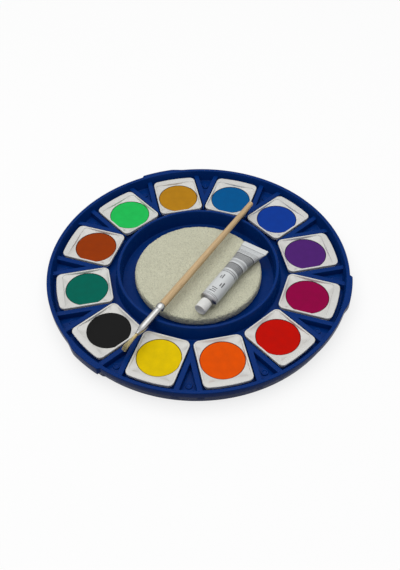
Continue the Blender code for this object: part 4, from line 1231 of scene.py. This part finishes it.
def make_tube_body(sizes, place):
    radius = sizes.tube_diameter / 2
    full = sizes.tube_length
    shoulder_end = SHOULDER_START + SHOULDER_LENGTH
    flatten_start = shoulder_end + TUBE_ROUND_LENGTH
    crimp_start = full - CRIMP_LENGTH
    crimp_radius = CRIMP_THICKNESS / 2
    web_radius = crimp_radius - CRIMP_FOLD_STEP
    crimp_spread = CRIMP_WIDTH / 2 - crimp_radius
    bare, lacquered = 1, 0
    front = [
        (NECK_FRONT + 3.0 * MM, NECK_BORE),
        (NECK_FRONT + 0.15 * MM, NECK_BORE),
        (NECK_FRONT, NECK_BORE + 0.15 * MM),
        (NECK_FRONT, NECK_RADIUS - 0.3 * MM),
        (NECK_FRONT + 0.3 * MM, NECK_RADIUS),
        (SHOULDER_START - 0.1 * MM, NECK_RADIUS),
        (SHOULDER_START, NECK_RADIUS + 0.1 * MM),
        (SHOULDER_START + 0.15 * MM, NECK_RADIUS + 1.0 * MM),
        (SHOULDER_START + 0.55 * MM, NECK_RADIUS + 1.7 * MM),
        (SHOULDER_START + 0.75 * MM, NECK_RADIUS + 2.2 * MM),
        (shoulder_end - 0.35 * MM, radius - 0.3 * MM),
        (shoulder_end - 0.1 * MM, radius - 0.08 * MM),
    ]
    stations = [(x, reach, 0, 0, bare) for x, reach in front]
    stations.append((shoulder_end + 0.1 * MM, radius, 0, 0, lacquered))
    steps = 26
    for step in range(1, steps):
        x = shoulder_end + 0.1 * MM + (TUBE_ROUND_LENGTH - 0.1 * MM) * step / steps
        stations.append((x, radius, 0, 0, lacquered))
    steps = 44
    for step in range(steps + 1):
        share = step / steps
        ease = share ** FLATTEN_POWER
        stations.append((
            flatten_start + (crimp_start - flatten_start) * share,
            radius + (web_radius - radius) * ease, crimp_spread * ease, CRIMP_DROP * ease, lacquered,
        ))
    stations += [
        (crimp_start + 0.02 * MM, crimp_radius - 0.06 * MM, crimp_spread, CRIMP_DROP, lacquered),
        (crimp_start + 0.1 * MM, crimp_radius, crimp_spread, CRIMP_DROP, lacquered),
        (crimp_start + CRIMP_LENGTH / 2, crimp_radius - 0.05 * MM, crimp_spread, CRIMP_DROP, lacquered),
        (full - 0.1 * MM, crimp_radius, crimp_spread, CRIMP_DROP, lacquered),
        (full, crimp_radius - 0.12 * MM, crimp_spread, CRIMP_DROP, lacquered),
    ]

    def squeezed(x, point, slack):
        """Soft metal that has been handled: shallow dents, only ever inwards."""
        axis = Vector((x, 0, point[2] * 0.15))
        outward = Vector(point) - axis
        depth = max(0.0, noise.noise(Vector(point) * 160) + 0.15) * slack
        return Vector(point) - outward.normalized() * depth

    sections = []
    for x, section_radius, spread, drop, kind in stations:
        slack = 0.0 if kind == bare or x > crimp_start - 0.5 * MM else DENT_DEPTH
        slack *= min(1.0, max(0.0, (x - shoulder_end) / DENT_FREE_LENGTH))
        points = stadium(x, section_radius, spread, TUBE_SEGMENTS, drop)
        sections.append([squeezed(x, point, slack) for point in points])
    bm = bmesh.new()
    bore_end = (stations[0][0], 0, 0)
    loft(
        bm, sections, first_tip=bore_end, last_tip=(full, 0, -CRIMP_DROP),
        material_indices=[station[4] for station in stations],
    )
    add_thread(bm, bare)
    bands = [(start * MM, end * MM, depth) for start, end, depth in TUBE_PRINT_AND_SHADOW_BANDS]
    bars = [[place * MM for place in bar] for bar in TUBE_PLAIN_BARS]
    lacquer = striped_enamel(tuple(sizes.enamel), tuple(sizes.print_and_shadow_grey), bands, bars)
    # The bare metal is darker than aluminium: painted shadow on the shoulder beside the cap.
    metal = drawn_metal("tube_bare_aluminium_shaded", (0.36, 0.36, 0.365), 0.3)
    tube = finish_piece("paint_tube", bm, [lacquer, metal], place, radians(40))
    take_place(tube, "tube_body_group", "tube_body")


def add_thread(bm, material_index):
    """The ridge of the neck's screw thread, seen when the cap is off."""
    ridge, root, half = 0.22 * MM, 0.1 * MM, 0.35 * MM
    turns, per_turn = 2.75, 32
    loops = []
    count = int(turns * per_turn)
    for step in range(count + 1):
        angle = 2 * pi * step / per_turn
        x = NECK_FRONT + 0.7 * MM + THREAD_PITCH * step / per_turn
        fade = min(1.0, step / 8, (count - step) / 8)
        crest = NECK_RADIUS - root + (ridge + root) * max(fade, 0.05)
        low = NECK_RADIUS - root
        loops.append(add_loop(bm, [
            Vector((x - half, low * cos(angle), low * sin(angle))),
            Vector((x - half / 3, crest * cos(angle), crest * sin(angle))),
            Vector((x + half / 3, crest * cos(angle), crest * sin(angle))),
            Vector((x + half, low * cos(angle), low * sin(angle))),
        ]))
    for first, second in zip(loops, loops[1:]):
        bridge(bm, first, second, material_index)
    bm.faces.new(loops[0]).material_index = material_index
    bm.faces.new(loops[-1]).material_index = material_index


def make_cap(sizes, place):
    radius = sizes.cap_diameter / 2
    dish = 0.35 * MM
    profile = round_corners([
        (0, dish, 0),
        (radius - 1.3 * MM, dish, 0.3 * MM),
        (radius - 0.9 * MM, 0, 0.25 * MM),
        (radius, 0, 0.45 * MM),
        (radius, CAP_LENGTH, 0.2 * MM),
        (CAP_BORE + 0.05 * MM, CAP_LENGTH, 0.1 * MM),
        (CAP_BORE, CAP_BORE_FRONT, 0.1 * MM),
        (0, CAP_BORE_FRONT, 0),
    ], 5)
    stations = []
    for first, second in zip(profile, profile[1:]):
        steps = max(1, int((second - first).length / (0.8 * MM)))
        stations += [first.lerp(second, step / steps) for step in range(steps)]
    stations.append(profile[-1])
    per_rib = 8

    def ribs(angle, reach, x):
        """Grip ribs on the cap's side that fade out near both ends."""
        if reach < radius - 0.25 * MM:
            return 0.0
        front_fade = max(0.0, (x - 0.5 * MM) / (0.6 * MM))
        back_fade = max(0.0, (CAP_LENGTH - 0.4 * MM - x) / (0.4 * MM))
        return -CAP_RIB_DEPTH * (1 - cos(sizes.cap_ribs * angle)) * min(1.0, front_fade, back_fade)

    bm = bmesh.new()
    turn_profile(bm, stations, sizes.cap_ribs * per_rib, "X", ribs)
    plastic = moulded_plastic("cap_white_plastic", (0.70, 0.70, 0.68), 0.42, 260.0)
    cap = finish_piece("screw_cap", bm, [plastic], place, radians(50))
    take_place(cap, "tube_cap_body", "tube_cap")


def make_liner():
    """The sealing disc keeps its solid and gets a soft waxy finish."""
    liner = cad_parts["cap_liner"]
    soft = moulded_plastic("liner_soft_plastic", (0.60, 0.60, 0.56), 0.6, 400.0)
    liner.data.materials.clear()
    liner.data.materials.append(soft)


# Operators

class PAINTBOX_OT_tray(bpy.types.Operator):
    """Mould the blue tray with its rim, ring wall, ribs and bosses"""
    bl_idname = "paintbox.tray"
    bl_label = "Tray"

    def execute(self, context):
        make_tray(context.scene.paint_box_tray)
        return {"FINISHED"}


class PAINTBOX_OT_pans(bpy.types.Operator):
    """Set the twelve white pans in the tray, each with its tablet of paint"""
    bl_idname = "paintbox.pans"
    bl_label = "Pans and tablets"

    def execute(self, context):
        make_pans(context.scene.paint_box_pans)
        return {"FINISHED"}


class PAINTBOX_OT_sponge(bpy.types.Operator):
    """Lay the foam sponge in the well"""
    bl_idname = "paintbox.sponge"
    bl_label = "Sponge"

    def execute(self, context):
        make_sponge(context.scene.paint_box_sponge)
        return {"FINISHED"}


class PAINTBOX_OT_brush(bpy.types.Operator):
    """Lay the brush across the ring wall: handle, ferrule and bristles"""
    bl_idname = "paintbox.brush"
    bl_label = "Brush"

    def execute(self, context):
        sizes = context.scene.paint_box_brush
        place = brush_placement(sizes)
        make_handle(sizes, place)
        make_ferrule(sizes, place)
        make_bristles(sizes, place)
        return {"FINISHED"}


class PAINTBOX_OT_tube(bpy.types.Operator):
    """Lay the tube of paint on the sponge, with its screw cap and sealing disc"""
    bl_idname = "paintbox.tube"
    bl_label = "Tube of paint"

    def execute(self, context):
        sizes = context.scene.paint_box_tube
        axis_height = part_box("sponge")[1].z + SEAT_GAP + sizes.tube_diameter / 2
        turn = Matrix.Rotation(TUBE_ANGLE, 4, "Z")
        place = turn @ Matrix.Translation((-TUBE_CAP_REACH, -TUBE_SIDE_OFFSET, axis_height))
        make_tube_body(sizes, place)
        make_cap(sizes, place)
        make_liner()
        return {"FINISHED"}


class PAINTBOX_OT_stage(bpy.types.Operator):
    """Set the pale floor, the soft lamps and the camera"""
    bl_idname = "paintbox.stage"
    bl_label = "Stage"

    def execute(self, context):
        make_stage(context.scene.paint_box_stage)
        return {"FINISHED"}


# Stage

CAMERA_PLACE = (0.02907, -0.35360, 0.39482)
CAMERA_TARGET = (0.002125, -0.013184, 0.008)
CAMERA_ROLL = radians(-1.394)
LAMPS = [
    ("lamp_overhead", (-0.08, 0.0, 1.25), (2.0, 2.0), 21.0),
]
WORLD_LEVEL = 0.25
FLOOR_SEEN = (0.95, 0.95, 0.95)
FLOOR_BOUNCE = (0.10, 0.10, 0.10)
FLOOR_WHITE_SHARE = 0.75


def seen_as_backdrop(tree):
    """One for rays from the camera, in a mirror or through glass, and zero for all others."""
    rays = add_node(tree, "ShaderNodeLightPath")
    seen = add_sum(tree, rays.outputs["Is Camera Ray"], rays.outputs["Is Glossy Ray"], "MAXIMUM")
    return add_sum(tree, seen, rays.outputs["Is Transmission Ray"], "MAXIMUM")


def make_floor(size):
    bm = bmesh.new()
    half = size / 2
    level = -0.05 * MM
    corners = ((-half, -half), (half, -half), (half, half), (-half, half))
    bm.faces.new([bm.verts.new((x, y, level)) for x, y in corners])
    material, tree, shader = start_material(
        "pale_floor", FLOOR_SEEN, 0.9, sockets={"Specular IOR Level": 0.0},
    )
    seen = seen_as_backdrop(tree)
    paint_with(tree, shader, add_mix(tree, seen, FLOOR_BOUNCE, FLOOR_SEEN))
    white = add_node(tree, "ShaderNodeEmission", inputs={"Color": (1.0, 1.0, 1.0, 1.0), "Strength": 1.0})
    mix = add_node(tree, "ShaderNodeMixShader")
    tree.links.new(add_sum(tree, seen, FLOOR_WHITE_SHARE, "MULTIPLY"), mix.inputs[0])
    tree.links.new(shader.outputs[0], mix.inputs[1])
    tree.links.new(white.outputs[0], mix.inputs[2])
    tree.links.new(mix.outputs[0], tree.nodes["Material Output"].inputs["Surface"])
    floor = finish_piece("studio_floor", bm, [material], Matrix.Identity(4))


def make_world():
    world = bpy.data.worlds.new("studio_light")
    bpy.context.scene.world = world
    world.use_nodes = True
    tree = world.node_tree
    background = tree.nodes["Background"]
    background.inputs["Color"].default_value = (1.0, 1.0, 1.0, 1.0)
    level = add_range(tree, seen_as_backdrop(tree), 0.0, 1.0, WORLD_LEVEL, 1.0)
    tree.links.new(level, background.inputs["Strength"])


def make_stage(sizes):
    make_floor(sizes.floor_size)
    make_world()
    for name, place, size, power in LAMPS:
        light = bpy.data.lights.new(name, "AREA")
        light.shape = "RECTANGLE"
        light.size, light.size_y = size
        light.energy = power
        lamp = bpy.data.objects.new(name, light)
        bpy.context.scene.collection.objects.link(lamp)
        lamp.location = place
        lamp.rotation_mode = "QUATERNION"
        lamp.rotation_quaternion = Vector(place).to_track_quat("Z", "Y")
    camera_data = bpy.data.cameras.new("photo_camera")
    camera_data.lens = sizes.lens
    camera = bpy.data.objects.new("photo_camera", camera_data)
    bpy.context.scene.collection.objects.link(camera)
    camera.location = CAMERA_PLACE
    back = Vector(CAMERA_PLACE) - Vector(CAMERA_TARGET)
    camera.rotation_mode = "QUATERNION"
    camera.rotation_quaternion = back.to_track_quat("Z", "Y") @ Quaternion((0, 0, 1), CAMERA_ROLL)
    bpy.context.scene.camera = camera
    bpy.context.scene.view_settings.view_transform = "Standard"


class PAINTBOX_PT_panel(bpy.types.Panel):
    """Sizes, colours and pieces of the paint box"""
    bl_idname = "PAINTBOX_PT_panel"
    bl_label = "Paint box"
    bl_space_type = "VIEW_3D"
    bl_region_type = "UI"
    bl_category = "Paint box"

    def draw(self, context):
        for operator, group, _ in STEPS:
            box = self.layout.box()
            box.operator(operator.bl_idname)
            sizes = getattr(context.scene, group)
            for name in sizes.bl_rna.properties.keys():
                if name not in ("rna_type", "name"):
                    box.prop(sizes, name)


STEPS = [
    (PAINTBOX_OT_tray, "paint_box_tray", PaintBoxTraySizes),
    (PAINTBOX_OT_pans, "paint_box_pans", PaintBoxPanSizes),
    (PAINTBOX_OT_sponge, "paint_box_sponge", PaintBoxSpongeSizes),
    (PAINTBOX_OT_brush, "paint_box_brush", PaintBoxBrushSizes),
    (PAINTBOX_OT_tube, "paint_box_tube", PaintBoxTubeSizes),
    (PAINTBOX_OT_stage, "paint_box_stage", PaintBoxStageSizes),
]


def register():
    for operator, name, group in STEPS:
        bpy.utils.register_class(group)
        setattr(bpy.types.Scene, name, bpy.props.PointerProperty(type=group))
        bpy.utils.register_class(operator)
    bpy.utils.register_class(PAINTBOX_PT_panel)


def unregister():
    bpy.utils.unregister_class(PAINTBOX_PT_panel)
    for operator, name, group in reversed(STEPS):
        bpy.utils.unregister_class(operator)
        delattr(bpy.types.Scene, name)
        bpy.utils.unregister_class(group)


def main():
    register()
    bpy.ops.paintbox.tray()
    bpy.ops.paintbox.pans()
    bpy.ops.paintbox.sponge()
    bpy.ops.paintbox.brush()
    bpy.ops.paintbox.tube()
    bpy.ops.paintbox.stage()


if __name__ == "__main__":
    main()
